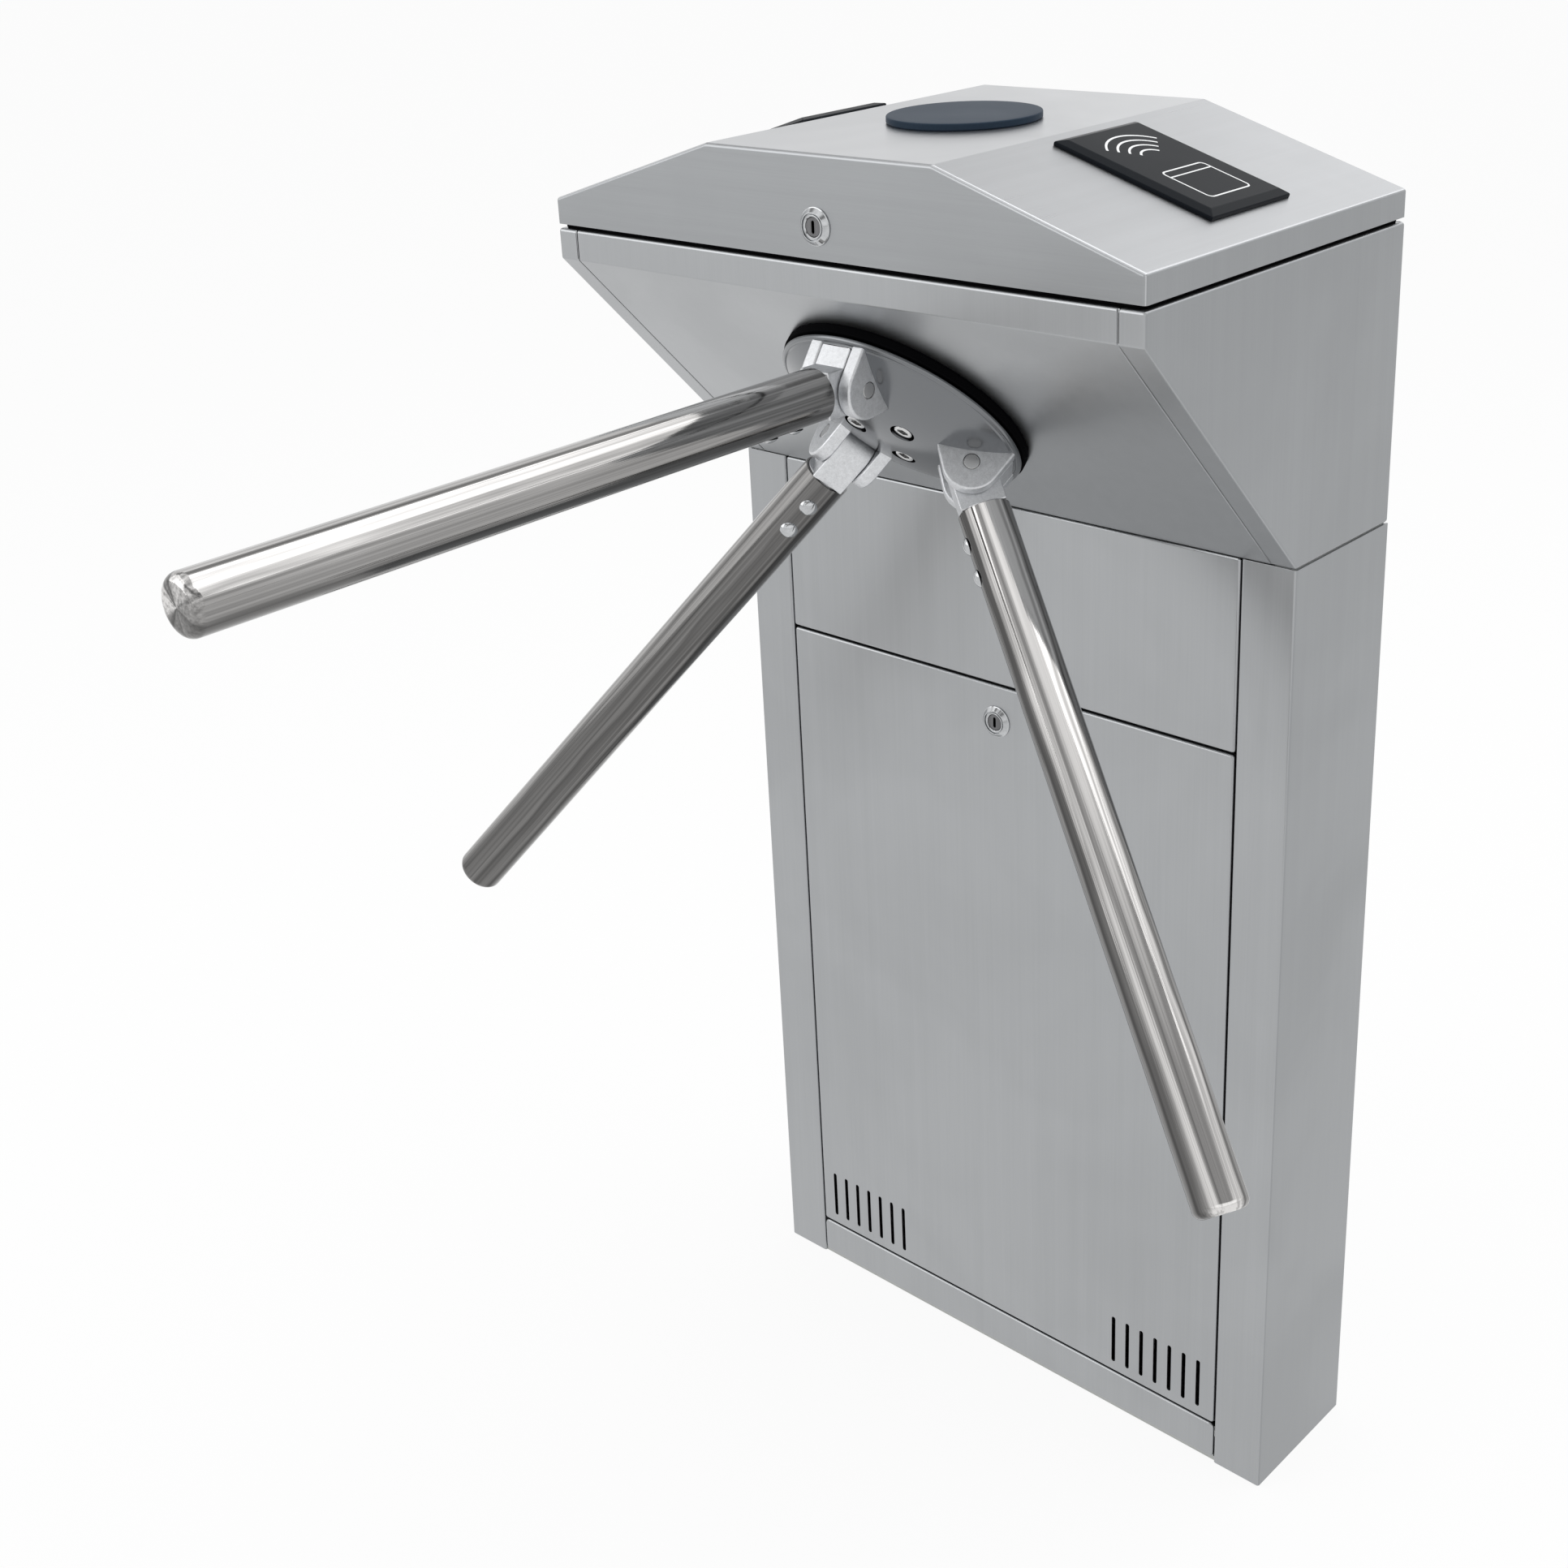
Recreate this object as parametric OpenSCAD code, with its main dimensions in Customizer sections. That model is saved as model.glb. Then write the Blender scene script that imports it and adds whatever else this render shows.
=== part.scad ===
// Tripod turnstile: a sheet steel pedestal and head, a lid that opens, a lift-off door,
// and a tilted hub that carries three arms. The origin is on the floor at the middle of
// the pedestal's footprint. +X is to the right seen from the front, +Y to the back, +Z up.

/* [Cabinet] */
// Width of the cabinet
cabinet_w = 470; // [440:1:560]
// Depth of the pedestal
pedestal_depth = 112; // [104:1:130]
// Depth of the head
head_depth = 278; // [270:1:300]
// Height of the pedestal
pedestal_h = 720; // [690:1:780]
// Height of the sloping front of the head
slope_rise = 174; // [168:1:186]
// Height of the upright band above the slope
band_h = 20; // [16:1:26]
// Open line between the head and the lid
lid_gap = 3; // [2:0.1:4]
// Height of the lid's upright edge
lid_lip_h = 17; // [15:1:24]
// Rise of the lid's sloping sides
roof_rise = 46; // [40:1:56]
// Half width of the lid's flat top
ridge_half_w = 90; // [80:1:100]
// Thickness of the cabinet's sheet steel
sheet = 1.5; // [1.2:0.1:2]
// Thickness of the steel deck between pedestal and head
deck_t = 2; // [1.5:0.1:3]
// Fine line between the pedestal's sides and the head's sides
seam_gap = 0.8; // [0.5:0.1:1.2]
// Width of the head's front edge flanges
head_flange_w = 18; // [16:1:22]
// Width of the pedestal's front posts
post_w = 39; // [34:1:46]
// Width of the flanges under the back panels
rear_flange_w = 22; // [18:1:26]
// Depth of the folded returns at the panels' edges
return_d = 10; // [8:0.5:12]
// Width of the flanges round the head's top
rim_flange_w = 14; // [12:1:16]
// Width of the flange inside the lid's lower edge
lid_flange_w = 10; // [8:0.5:10]

/* [Pedestal front] */
// Height of the sill's underside above the floor
sill_clear = 3; // [2:0.5:5]
// Height of the sill's top above the floor
sill_top = 34; // [28:1:44]
// Depth of the sill's top flange
sill_flange_d = 22; // [20:1:28]
// Depth of the sill's bottom flange, clear of the washers on the floor anchors
sill_foot_d = 12; // [8:1:14]
// Distance of the door's top edge below the pedestal's top
door_top_drop = 137; // [120:1:160]
// Open line above and below the door
door_gap = 1.6; // [1:0.1:2.5]
// Open line at each side of the door
door_side_gap = 1.2; // [0.8:0.1:2]
// Open line at each side of the fixed panels
panel_gap = 0.8; // [0.5:0.1:0.9]
// Number of vent slots in each group
vent_count = 7; // [3:1:8]
// Distance between vent slots
vent_pitch = 12.6; // [9:0.1:14]
// Width of a vent slot
vent_w = 3.4; // [2.5:0.1:5]
// Height of a vent slot
vent_h = 42; // [30:1:60]
// Height of the vent slots' lower ends above the door's lower edge
vent_up = 9; // [6:1:20]
// Distance of the middle of a vent group in from the cabinet's side
vent_inset = 92; // [89:1:115]
// Width of the door's two locating tabs
tab_w = 28; // [20:1:40]
// Length of the door's locating tabs below the sill's top
tab_drop = 8; // [6:0.5:10]
// Distance of each locating tab in from the cabinet's side
tab_inset = 85; // [70:1:115]

/* [Base] */
// Thickness of the base plate
base_t = 4; // [3:0.5:6]
// Distance of the floor anchors in from the cabinet's sides
anchor_inset = 50; // [35:1:65]
// Distance between floor anchors front to back
anchor_dy = 60; // [50:1:66]
// Radius of a floor anchor hole
anchor_r = 6.5; // [5:0.5:8]
// Radius of the cable entry through the grommet
cable_r = 20; // [15:1:23]
// Wall of the cable grommet
grommet_wall = 2.5; // [2:0.5:4]
// How far the grommet's lip stands over the base plate
grommet_lip = 3; // [2:0.5:5]

/* [Hub] */
// Distance of the hub's middle below the band, measured down the slope
hub_down = 114; // [110:1:118]
// Radius of the black trim ring
ring_r = 86; // [80:1:88]
// Radius of the trim ring's opening
ring_bore_r = 37; // [35:1:40]
// Thickness of the trim ring
ring_t = 6; // [4:0.5:8]
// Running gap between the trim ring and the hub
hub_gap = 0.6; // [0.4:0.1:1]
// Radius of the hub
hub_r = 85; // [84:1:88]
// Thickness of the hub at its rim
rim_t = 4.4; // [3.5:0.1:6]
// Height of the hub's middle above its underside
dome_h = 23.4; // [21:0.1:26]
// Distance of each arm's pivot from the hub's axis
pivot_r = 59; // [57:0.5:61]
// Height of each arm's pivot above the slope
pivot_h = 27; // [26:0.5:29]
// Radius of the ears' round ends
ear_r = 18.5; // [17:0.5:20]
// Thickness of an ear
ear_t = 9.5; // [7:0.5:11]
// Side clearance between a knuckle and its ears
ear_clear = 0.3; // [0.2:0.1:0.6]
// Radius of the pivot pins
pin_r = 5; // [4:0.5:6]
// Radial running clearance of pins and shafts
run_clear = 0.05; // [0.02:0.01:0.1]
// Distance of the three hub bolts from the axis
hub_bolt_circle_r = 22.6; // [21:0.1:24]
// Radius of a hub bolt's shank
hub_bolt_r = 4; // [3:0.5:5]
// Radius of a hub bolt's head
hub_bolt_head_r = 6.5; // [5:0.5:7]

/* [Arms] */
// Distance from an arm's pivot to its tip
arm_reach = 472; // [440:1:500]
// Radius of the arm tube
arm_r = 17; // [16:0.5:19]
// Wall of the arm tube
arm_wall = 1.5; // [1.2:0.1:2]
// Distance from the pivot to the start of the tube
tube_start = 26; // [25:0.5:30]
// Thickness of the knuckle between the ears
knuckle_t = 23.4; // [20:0.2:26]
// Half width of the knuckle's square block
knuckle_half_w = 15; // [13:0.5:16]
// Length of the knuckle's spigot inside the tube
spigot_len = 54; // [50:1:70]
// Distance of the first tube screw from the pivot
tube_screw_first = 46; // [40:1:50]
// Distance between the two tube screws
tube_screw_pitch = 22; // [16:1:26]
// Radius of a tube screw's domed head
tube_screw_head_r = 6; // [5:0.5:7]
// Radius of a tube screw's shank
tube_screw_r = 3; // [2.5:0.5:3.5]
// Radius of the rounded edge of an arm's closed end
arm_end_round = 6; // [4:0.5:9]

/* [Drive] */
// Depth of the mechanism plate's front face behind the slope
plate_depth = 26; // [24:1:28]
// Thickness of the mechanism plate
plate_t = 8; // [6:1:10]
// Radius of the main shaft
shaft_r = 15; // [14:0.5:16]
// Outer radius of the shaft bearings
bearing_r = 31; // [30:0.5:33]
// Width of a shaft bearing
bearing_w = 16; // [14:1:16]
// Outer radius of the bearing housing
housing_r = 41; // [40:0.5:42]
// Length of the bearing housing behind the plate
housing_len = 26; // [25:1:28]
// Gear module
gear_module = 2; // [1.8:0.05:2.2]
// Teeth of the shaft gear
gear_teeth = 45; // [45:3:45]
// Teeth of each pinion
pinion_teeth = 15; // [15:1:15]
// Thickness of the shaft gear
gear_t = 8; // [6:0.5:9]
// Radius of the lock wheel
lock_wheel_r = 50; // [48:0.5:52]
// Thickness of the lock wheel and the pawls
lock_wheel_t = 7; // [6:0.5:8]
// Depth of the lock wheel's notches
notch_depth = 8; // [7:0.5:9]
// Width of the lock wheel's notches
notch_w = 13; // [12:0.5:15]
// Radius of the sensor disc
sensor_disc_r = 44; // [42:0.5:46]

/* [Lid fittings] */
// Radius of the black disc on the lid
disc_r = 49.5; // [46:0.5:58]
// Height of the black disc
disc_h = 5; // [4:0.5:8]
// Distance of the black disc and the windows behind the lid's front
fitting_y = 142; // [130:1:150]
// Length of a reader window down the lid's slope
window_len = 115; // [100:1:120]
// Width of a reader window front to back
window_w = 83; // [70:1:95]
// Height of a reader window above the lid
window_h = 6; // [4:0.5:8]
// Width of a reader window's bevel
window_bevel = 5.5; // [3:0.5:8]
// Distance of a reader window below the lid's ridge
window_down = 10.5; // [6:0.5:16]

/* [Locks] */
// Radius of a lock's bezel
bezel_r = 11.8; // [11.4:0.1:14]
// Thickness of a lock's bezel
bezel_t = 3.2; // [2.5:0.1:5]
// Radius of a lock's barrel
barrel_r = 9.3; // [8.5:0.1:9.5]
// Radius of a lock's plug
plug_r = 6; // [5:0.5:6.5]
// Height of the lid's lock above the lid's lower edge
lid_lock_up = 20; // [20:0.5:22]
// Distance of the door's lock below the door's top edge
door_lock_down = 27.5; // [26:0.5:29]
// Length of the door lock's cam
door_cam_len = 33; // [32:0.5:36]
// Length of the lid lock's cam
lid_cam_len = 30; // [28:0.5:31]
// Width of a cam
cam_w = 13; // [10:0.5:13]
// Thickness of a cam
cam_t = 2; // [1.5:0.5:3]

/* [Hidden] */

// Smoothness of round shapes
$fn = 96;
// Overrun of every cut past the face that it opens
over = 0.5;
// Gap between parts that are laid beside each other
lay_gap = 0.3;
// Radial gap of a pin that is pressed or bolted in place
fit_gap = 0.02;
// Axial gap between parts that turn past each other
turn_gap = 0.5;

// Cabinet planes
side_x = cabinet_w / 2;
inner_x = side_x - sheet;
back_y = pedestal_depth / 2;
front_y = -pedestal_depth / 2;
head_front_y = back_y - head_depth;
band_z = pedestal_h + slope_rise;
head_top = band_z + band_h;
lid_bottom = head_top + lid_gap;
eave_z = lid_bottom + lid_lip_h;
roof_z = eave_z + roof_rise;
post_top = pedestal_h - seam_gap;
deck_top = post_top + deck_t;
slope_angle = atan2(front_y - head_front_y, slope_rise);
roof_angle = atan2(roof_rise, side_x - ridge_half_w);

// Fronts and backs of what lies inside the walls
post_in_x = side_x - post_w;
panel_half_w = post_in_x - panel_gap;
door_half_w = post_in_x - door_side_gap;
nested_x = inner_x - lay_gap;
nested_front_y = front_y + sheet + lay_gap;
nested_back_y = back_y - sheet - lay_gap;
rear_flange_y = back_y - 2 * sheet;
flange_in_x = side_x - head_flange_w;
fascia_half_w = flange_in_x - panel_gap / 2;
deck_front_y = front_y + sheet / cos(slope_angle) + lay_gap;
door_bottom = sill_top + door_gap;
door_top = pedestal_h - door_top_drop;
panel_bottom = door_top + door_gap;
vent_group_x = side_x - vent_inset;
tab_x = side_x - tab_inset;
anchor_x = side_x - anchor_inset;

// Width of the flanges at the posts' tops and feet, and under the head's sides
foot_w = 15;
// Front end of the flange under each head side
head_foot_front_y = -30;
// Radius, length and head of the cabinet's screws
screw_r = 2.5;
screw_len = 7;
screw_head_r = 4.6;
screw_head_h = 2.4;
screw_clear = 0.2;
// Distance of the back panels' end screws from the panels' ends
screw_edge = 40;
// Distance of the deck's screws from the middle, front to back
deck_screw_y = 22;
// Radius and place of the cable opening in the deck
deck_hole_r = 25;
deck_hole_x = 120;
back_screw_x = inner_x - rear_flange_w / 2;
deck_screw_x = inner_x - foot_w / 2;
back_screw_zs = [
    base_t + screw_edge, post_top / 2, post_top - screw_edge,
    deck_top + screw_edge, head_top - screw_edge
];

// Lip that is folded down from the fascia's top flange
rim_lip_h = 14;
// Rubber strip under the lid's lower edge
seal_inset = 3;
seal_w = 6;
seal_h = lid_gap - lay_gap;

// Hub frame: its middle on the slope, with local +Z out of the slope and +Y up the slope
hub_y = head_front_y + hub_down * sin(slope_angle);
hub_z = band_z - hub_down * cos(slope_angle);
hub_under = ring_t + hub_gap;
rim_top = hub_under + rim_t;
dome_top = hub_under + dome_h;
dome_base_r = hub_r - rim_t / 2;
dome_r = (pow(dome_base_r, 2) + pow(dome_top - rim_top, 2)) / 2 / (dome_top - rim_top);
arm_count = 3;
arm_turn = 360 / arm_count;
ear_in = knuckle_t / 2 + ear_clear;
ear_out = ear_in + ear_t;
// Corners of an ear's foot, measured from the pivot
ear_back = 25;
ear_back_drop = 2;
ear_fore = 22;
ear_fore_drop = 15;
// Room round a knuckle in the hub
pocket_clear = 1;
// Gap between a knuckle's foot and the dome that it stands over, and where the foot starts
foot_gap = 0.4;
foot_from_share = 0.73;
fold_angle = 90;
// Depth of the seats of the hub bolts' heads below the hub's middle
bolt_seat_depth = 10;
bolt_head_h = 8;
bolt_head_clear = 1.7;
// Hexagon socket in a hub bolt's head
bolt_socket_r = 3.4;
bolt_socket_d = 4;
bolt_seat = dome_top - bolt_seat_depth;

// Shaft stack, as depths behind the slope
flange_r = 31;
flange_depth = 4;
hub_opening_r = 34;
shoulder_r = 19;
housing_end = plate_depth + plate_t + housing_len;
stack_gap = 2;
gear_from = housing_end + stack_gap;
gear_to = gear_from + gear_t;
wheel_from = gear_to + stack_gap;
wheel_to = wheel_from + lock_wheel_t;
disc_gap = 7;
disc_from = wheel_to + disc_gap;
disc_t = 1.5;
disc_to = disc_from + disc_t;
nut_from = disc_to + stack_gap;
nut_h = 8;
nut_r = 23;
thread_end = 3;
shaft_end = nut_from + nut_h + thread_end;

// Mechanism plate, seen along the hub's axis
plate_half_w = 118;
plate_up = 72;
plate_down = 88;
standoff_r = 7;
standoff_x = 104;
standoff_up = 58;
standoff_down = 74;

// Gears
gear_r = gear_module * gear_teeth / 2;
pinion_r = gear_module * pinion_teeth / 2;
pinion_distance = gear_r + pinion_r;
// Tooth shape, as shares of the module and of the tooth pitch
tip_share = 0.8;
root_share = 1.1;
thick_share = 0.42;
flank_angle = 20;
// Directions of the two pinions from the shaft
crank_angle = -108;
damper_angle = -72;
arbor_r = 4;
arbor_sleeve_r = 5.2;
crank_r = 10;
crank_pin_r = 2.5;
crank_pin_len = 12;
damper_r = 17.5;
damper_len = 24;
damper_floor = 4;
// Distance of the spring's fixed post from the crank's middle
spring_reach = 76;
spring_post_r = 4;
spring_r = 5;
spring_wire_r = 1;
spring_eye_r = 4.4;
spring_eye_t = 2.4;
spring_hook_len = 9;
spring_depth = gear_from - crank_pin_len / 2;

// Lock wheel, pawls and solenoids, seen along the hub's axis
notch_count = 6;
pawl_x = 57;
pawl_down = 38;
pawl_boss_r = 9;
pawl_arm_w = 10;
pawl_tail_up = 32;
pawl_tail_end = 6;
pawl_post_r = 5;
pawl_post_shoulder_r = 8;
pawl_gap = 1.3;
nose_half_w = 3;
nose_root_half_w = 4.5;
link_r = 2.5;
link_clear = 0.6;
plunger_r = 4;
plunger_clear = 0.3;
plunger_front = 4;
plunger_len = 42;
plunger_depth = wheel_to + turn_gap + plunger_r + lay_gap;
solenoid_x = 80;
solenoid_len = 38;
solenoid_w = 24;
solenoid_wall = 5;
bracket_w = 18;
bracket_wall = 2;

// Sensor fork astride the disc's edge
fork_turn = 20;
fork_w = 8;
fork_arm_t = 3.5;
fork_gap = 1.5;
fork_overlap = 6;
fork_post_t = 8;
sensor_slots = 3;
sensor_slot_turn = 20;
sensor_slot_d = 10;

// Lid fittings
disc_round = 1;
disc_stem_r = 6;
disc_stem_len = 10;
fitting_mid_y = head_front_y + fitting_y;
wire_hole_r = 8;
board_t = 1.6;
board_l = 60;
board_w = 50;
board_gap = 6;
board_post_r = 3;
board_inset = 5;

// Lid hinge
hinge_out = 4.3;
knuckle_r = 3.8;
hinge_pin_r = 2;
leaf_t = 1.2;
leaf_h = 26;
hinge_w = 60;
hinge_inset = 85;
hinge_x = side_x - hinge_inset;
hinge_share = 1 / 3;
hinge_y = back_y + hinge_out;
hinge_z = (head_top + lid_bottom) / 2;

// Locks
lid_lock_z = lid_bottom + lid_lock_up;
door_lock_z = door_top - door_lock_down;
bezel_chamfer = 2;
lock_nut_r = 13;
lock_nut_t = 4;
plug_recess = 0.8;
key_slot_w = 2.4;
key_slot_h = 8;
key_slot_d = 6;
cam_gap = 0.2;
lid_barrel_len = rim_flange_w + sheet + lock_nut_t;
door_barrel_len = return_d + cam_t + turn_gap;

// Keeper that the lid's cam turns under
keeper_t = 2;
keeper_x = 20;
keeper_w = 26;
keeper_hook_d = 9;
keeper_down = 12;
keeper_gap = 1.5;

// Boards and supplies inside the cabinet
pcb_w = 160;
pcb_h = 110;
pcb_z = 770;
pcb_off = 10;
relay_w = 16;
relay_d = 12;
relay_h = 20;
relay_count = 5;
supply_w = 99;
supply_h = 198;
supply_d = 38;
supply_z = 380;
strip_w = 90;
strip_h = 20;
strip_d = 24;
strip_z = 320;
strip_poles = 8;
strip_screw_r = 3;
strip_screw_h = 1.2;

// A straight-sided solid between two corners
module block(lo, hi) {
    translate(lo) cube(hi - lo);
}

// Round bars and bores along each axis
module bar_x(r, from, to) {
    translate([from, 0, 0]) rotate([0, 90, 0]) cylinder(r = r, h = to - from);
}
module bar_y(r, from, to) {
    translate([0, from, 0]) rotate([-90, 0, 0]) cylinder(r = r, h = to - from);
}
module bar_z(r, from, to) {
    translate([0, 0, from]) cylinder(r = r, h = to - from);
}

// Outlines drawn in (Y, Z) and in (X, Z), carried along X and along Y
module along_x(from, to) {
    translate([from, 0, 0]) rotate([90, 0, 90]) linear_extrude(to - from) children();
}
module along_y(from, to) {
    translate([0, to, 0]) rotate([90, 0, 0]) linear_extrude(to - from) children();
}

// The same on the right and, mirrored, on the left
module both_sides() {
    children();
    mirror([1, 0, 0]) children();
}
module left_side() {
    mirror([1, 0, 0]) children();
}

// Frames: the hub's, an arm's with +Z along the arm, and the lid's right slope
module at_hub() {
    translate([0, hub_y, hub_z]) rotate([90 + slope_angle, 0, 0]) children();
}
module at_ear(k) {
    rotate([0, 0, -k * arm_turn]) translate([0, pivot_r, pivot_h]) children();
}
module at_arm(k) {
    at_hub() at_ear(k) rotate([-slope_angle, 0, 0]) children();
}
module at_roof() {
    translate([ridge_half_w, fitting_mid_y, roof_z]) rotate([0, roof_angle, 0]) children();
}

// The head's front, folded from the band to the slope, as a strip of the given thickness
function slope_y(z) = front_y - (z - pedestal_h) * tan(slope_angle);
function front_strip(t, low) = [
    [head_front_y, head_top], [head_front_y, band_z], [slope_y(low), low],
    [slope_y(low) + t / cos(slope_angle), low],
    [head_front_y + t, band_z + t * tan(slope_angle / 2)], [head_front_y + t, head_top]
];

// The lid's outline seen from the front, taken in by a thickness
function lid_outline(t, low) = [
    [-side_x + t, low], [-side_x + t, eave_z - t * tan(45 - roof_angle / 2)],
    [-ridge_half_w + t * tan(roof_angle / 2), roof_z - t],
    [ridge_half_w - t * tan(roof_angle / 2), roof_z - t],
    [side_x - t, eave_z - t * tan(45 - roof_angle / 2)], [side_x - t, low]
];

// Where a line from p touches a circle round c, on the side that turn gives
function touch(p, c, r, turn) =
    let (d = norm(p - c), a = atan2(p[1] - c[1], p[0] - c[0]) + turn * acos(r / d))
    c + r * [cos(a), sin(a)];

// Screws of the back panels and of the deck, and the holes that they pass through
module at_back_screws(low, high) {
    for (z = back_screw_zs) {
        if (z > low && z < high) {
            both_sides() translate([back_screw_x, 0, z]) children();
        }
    }
}
module at_deck_screws() {
    for (y = [-deck_screw_y, deck_screw_y]) {
        both_sides() translate([deck_screw_x, y, 0]) children();
    }
}
module back_holes(low, high) {
    at_back_screws(low, high) {
        bar_y(screw_r + screw_clear, back_y - screw_len - over, back_y + over);
    }
}
module deck_holes() {
    at_deck_screws() bar_z(screw_r + screw_clear, post_top - screw_len, deck_top + screw_len);
}

module base_plate() color("dimgray") {
    difference() {
        block([-nested_x, nested_front_y, 0], [nested_x, nested_back_y, base_t]);
        for (x = [-anchor_x, anchor_x], y = [-anchor_dy / 2, anchor_dy / 2]) {
            translate([x, y, 0]) bar_z(anchor_r, -over, base_t + over);
        }
        bar_z(cable_r + grommet_wall, -over, base_t + over);
    }
}

module cable_grommet() color("black") {
    difference() {
        union() {
            bar_z(cable_r + grommet_wall - fit_gap, 0, base_t + grommet_lip);
            bar_z(cable_r + 2 * grommet_wall, base_t, base_t + grommet_lip);
        }
        bar_z(cable_r, -over, base_t + grommet_lip + over);
    }
}

// A side of the pedestal, folded with its front post, its rear flange and its feet
module post() color("silver") {
    difference() {
        union() {
            block([inner_x, front_y, 0], [side_x, back_y, post_top]);
            block([post_in_x, front_y, 0], [side_x, front_y + sheet, post_top]);
            block([post_in_x, front_y, base_t],
                [post_in_x + sheet, front_y + return_d, post_top]);
            block([inner_x - rear_flange_w, rear_flange_y, base_t],
                [side_x, back_y - sheet, post_top]);
            for (z = [base_t, post_top - sheet]) {
                block([inner_x - foot_w, front_y + sheet, z],
                    [side_x, rear_flange_y, z + sheet]);
            }
        }
        back_holes(0, post_top);
        deck_holes();
    }
}
module right_post() post();
module left_post() left_side() post();

module pedestal_back() color("silver") {
    difference() {
        block([-nested_x, back_y - sheet, sill_clear], [nested_x, back_y, post_top]);
        back_holes(0, post_top);
    }
}

module upper_front_panel() color("silver") {
    block([-panel_half_w, front_y, panel_bottom], [panel_half_w, front_y + sheet, post_top]);
    for (z = [panel_bottom, post_top - sheet]) {
        block([-panel_half_w, front_y, z], [panel_half_w, front_y + return_d, z + sheet]);
    }
    both_sides() {
        block([panel_half_w - sheet, front_y, panel_bottom],
            [panel_half_w, front_y + return_d, post_top]);
    }
}

module front_sill() color("silver") {
    block([-panel_half_w, front_y, sill_clear], [panel_half_w, front_y + sheet, sill_top]);
    block([-panel_half_w, front_y, base_t],
        [panel_half_w, front_y + sill_foot_d, base_t + sheet]);
    difference() {
        block([-panel_half_w, front_y, sill_top - sheet],
            [panel_half_w, front_y + sill_flange_d, sill_top]);
        both_sides() {
            block([tab_x - tab_w / 2 - lay_gap, front_y + return_d - 2 * sheet, 0],
                [tab_x + tab_w / 2 + lay_gap, front_y + return_d + tab_drop, pedestal_h]);
        }
    }
}

module deck_plate() color("gray") {
    difference() {
        block([-nested_x, deck_front_y, post_top], [nested_x, rear_flange_y, deck_top]);
        translate([deck_hole_x, 0, 0]) bar_z(deck_hole_r, post_top - over, deck_top + over);
        deck_holes();
    }
}

// A side of the head, with its front flange, its rear flange, its rim and its foot
module head_side() color("silver") {
    difference() {
        union() {
            along_x(inner_x, side_x) {
                polygon([
                    [front_y, pedestal_h], [back_y, pedestal_h], [back_y, head_top],
                    [head_front_y, head_top], [head_front_y, band_z]
                ]);
            }
            along_x(flange_in_x, side_x) polygon(front_strip(sheet, pedestal_h));
            along_x(flange_in_x, flange_in_x + sheet) {
                polygon(front_strip(return_d, deck_top));
            }
            block([inner_x - rear_flange_w, rear_flange_y, deck_top],
                [side_x, back_y - sheet, head_top]);
            block([inner_x - rim_flange_w, head_front_y, head_top - sheet],
                [side_x, rear_flange_y, head_top]);
            block([inner_x - foot_w, head_foot_front_y, deck_top],
                [side_x, rear_flange_y, deck_top + sheet]);
        }
        back_holes(deck_top, head_top);
        deck_holes();
    }
}
module right_head_side() head_side();
module left_head_side() left_side() head_side();

module head_back() color("silver") {
    rim_x = inner_x - rear_flange_w - lay_gap;
    difference() {
        block([-nested_x, back_y - sheet, pedestal_h], [nested_x, back_y, head_top]);
        back_holes(deck_top, head_top);
    }
    block([-rim_x, back_y - rim_flange_w, head_top - sheet], [rim_x, back_y, head_top]);
}

// The head's front panel: the band, the slope with the hub's opening, and the returns
module front_fascia() color("silver") {
    rim_back_y = head_front_y + rim_flange_w;
    difference() {
        along_x(-fascia_half_w, fascia_half_w) polygon(front_strip(sheet, pedestal_h));
        at_hub() bar_z(hub_opening_r, -ring_t, ring_t);
    }
    both_sides() {
        along_x(fascia_half_w - sheet, fascia_half_w) polygon(front_strip(return_d, deck_top));
    }
    block([-fascia_half_w, head_front_y, head_top - sheet],
        [fascia_half_w, rim_back_y, head_top]);
    block([-fascia_half_w, rim_back_y - sheet, head_top - rim_lip_h],
        [fascia_half_w, rim_back_y, head_top]);
    block([-fascia_half_w, slope_y(deck_top + sheet) + sheet, deck_top],
        [fascia_half_w, front_y + sill_flange_d, deck_top + sheet]);
}

module cabinet_screw() {
    bar_z(screw_r, -screw_len, over);
    bar_z(screw_head_r, 0, screw_head_h);
}
module cabinet_screws() color("gainsboro") {
    at_back_screws(0, head_top) translate([0, back_y, 0]) rotate([-90, 0, 0]) cabinet_screw();
    at_deck_screws() translate([0, 0, deck_top + sheet]) cabinet_screw();
}

module lid_seal() color("black") {
    out_x = side_x - seal_inset;
    out_front = head_front_y + seal_inset;
    out_back = back_y - seal_inset;
    difference() {
        block([-out_x, out_front, head_top], [out_x, out_back, head_top + seal_h]);
        block([-out_x + seal_w, out_front + seal_w, head_top - over],
            [out_x - seal_w, out_back - seal_w, lid_bottom]);
    }
}

module lid_keeper() color("gray") {
    face_y = head_front_y + rim_flange_w;
    hook_z = lid_lock_z + cam_w / 2 + keeper_gap;
    block([keeper_x, face_y, head_top - keeper_down],
        [keeper_x + keeper_w, face_y + keeper_t, hook_z + keeper_t]);
    block([keeper_x, face_y, hook_z],
        [keeper_x + keeper_w, face_y + keeper_hook_d, hook_z + keeper_t]);
}

module trim_ring() color("black") {
    at_hub() {
        difference() {
            bar_z(ring_r, 0, ring_t);
            bar_z(ring_bore_r, -over, ring_t + over);
        }
    }
}

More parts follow.
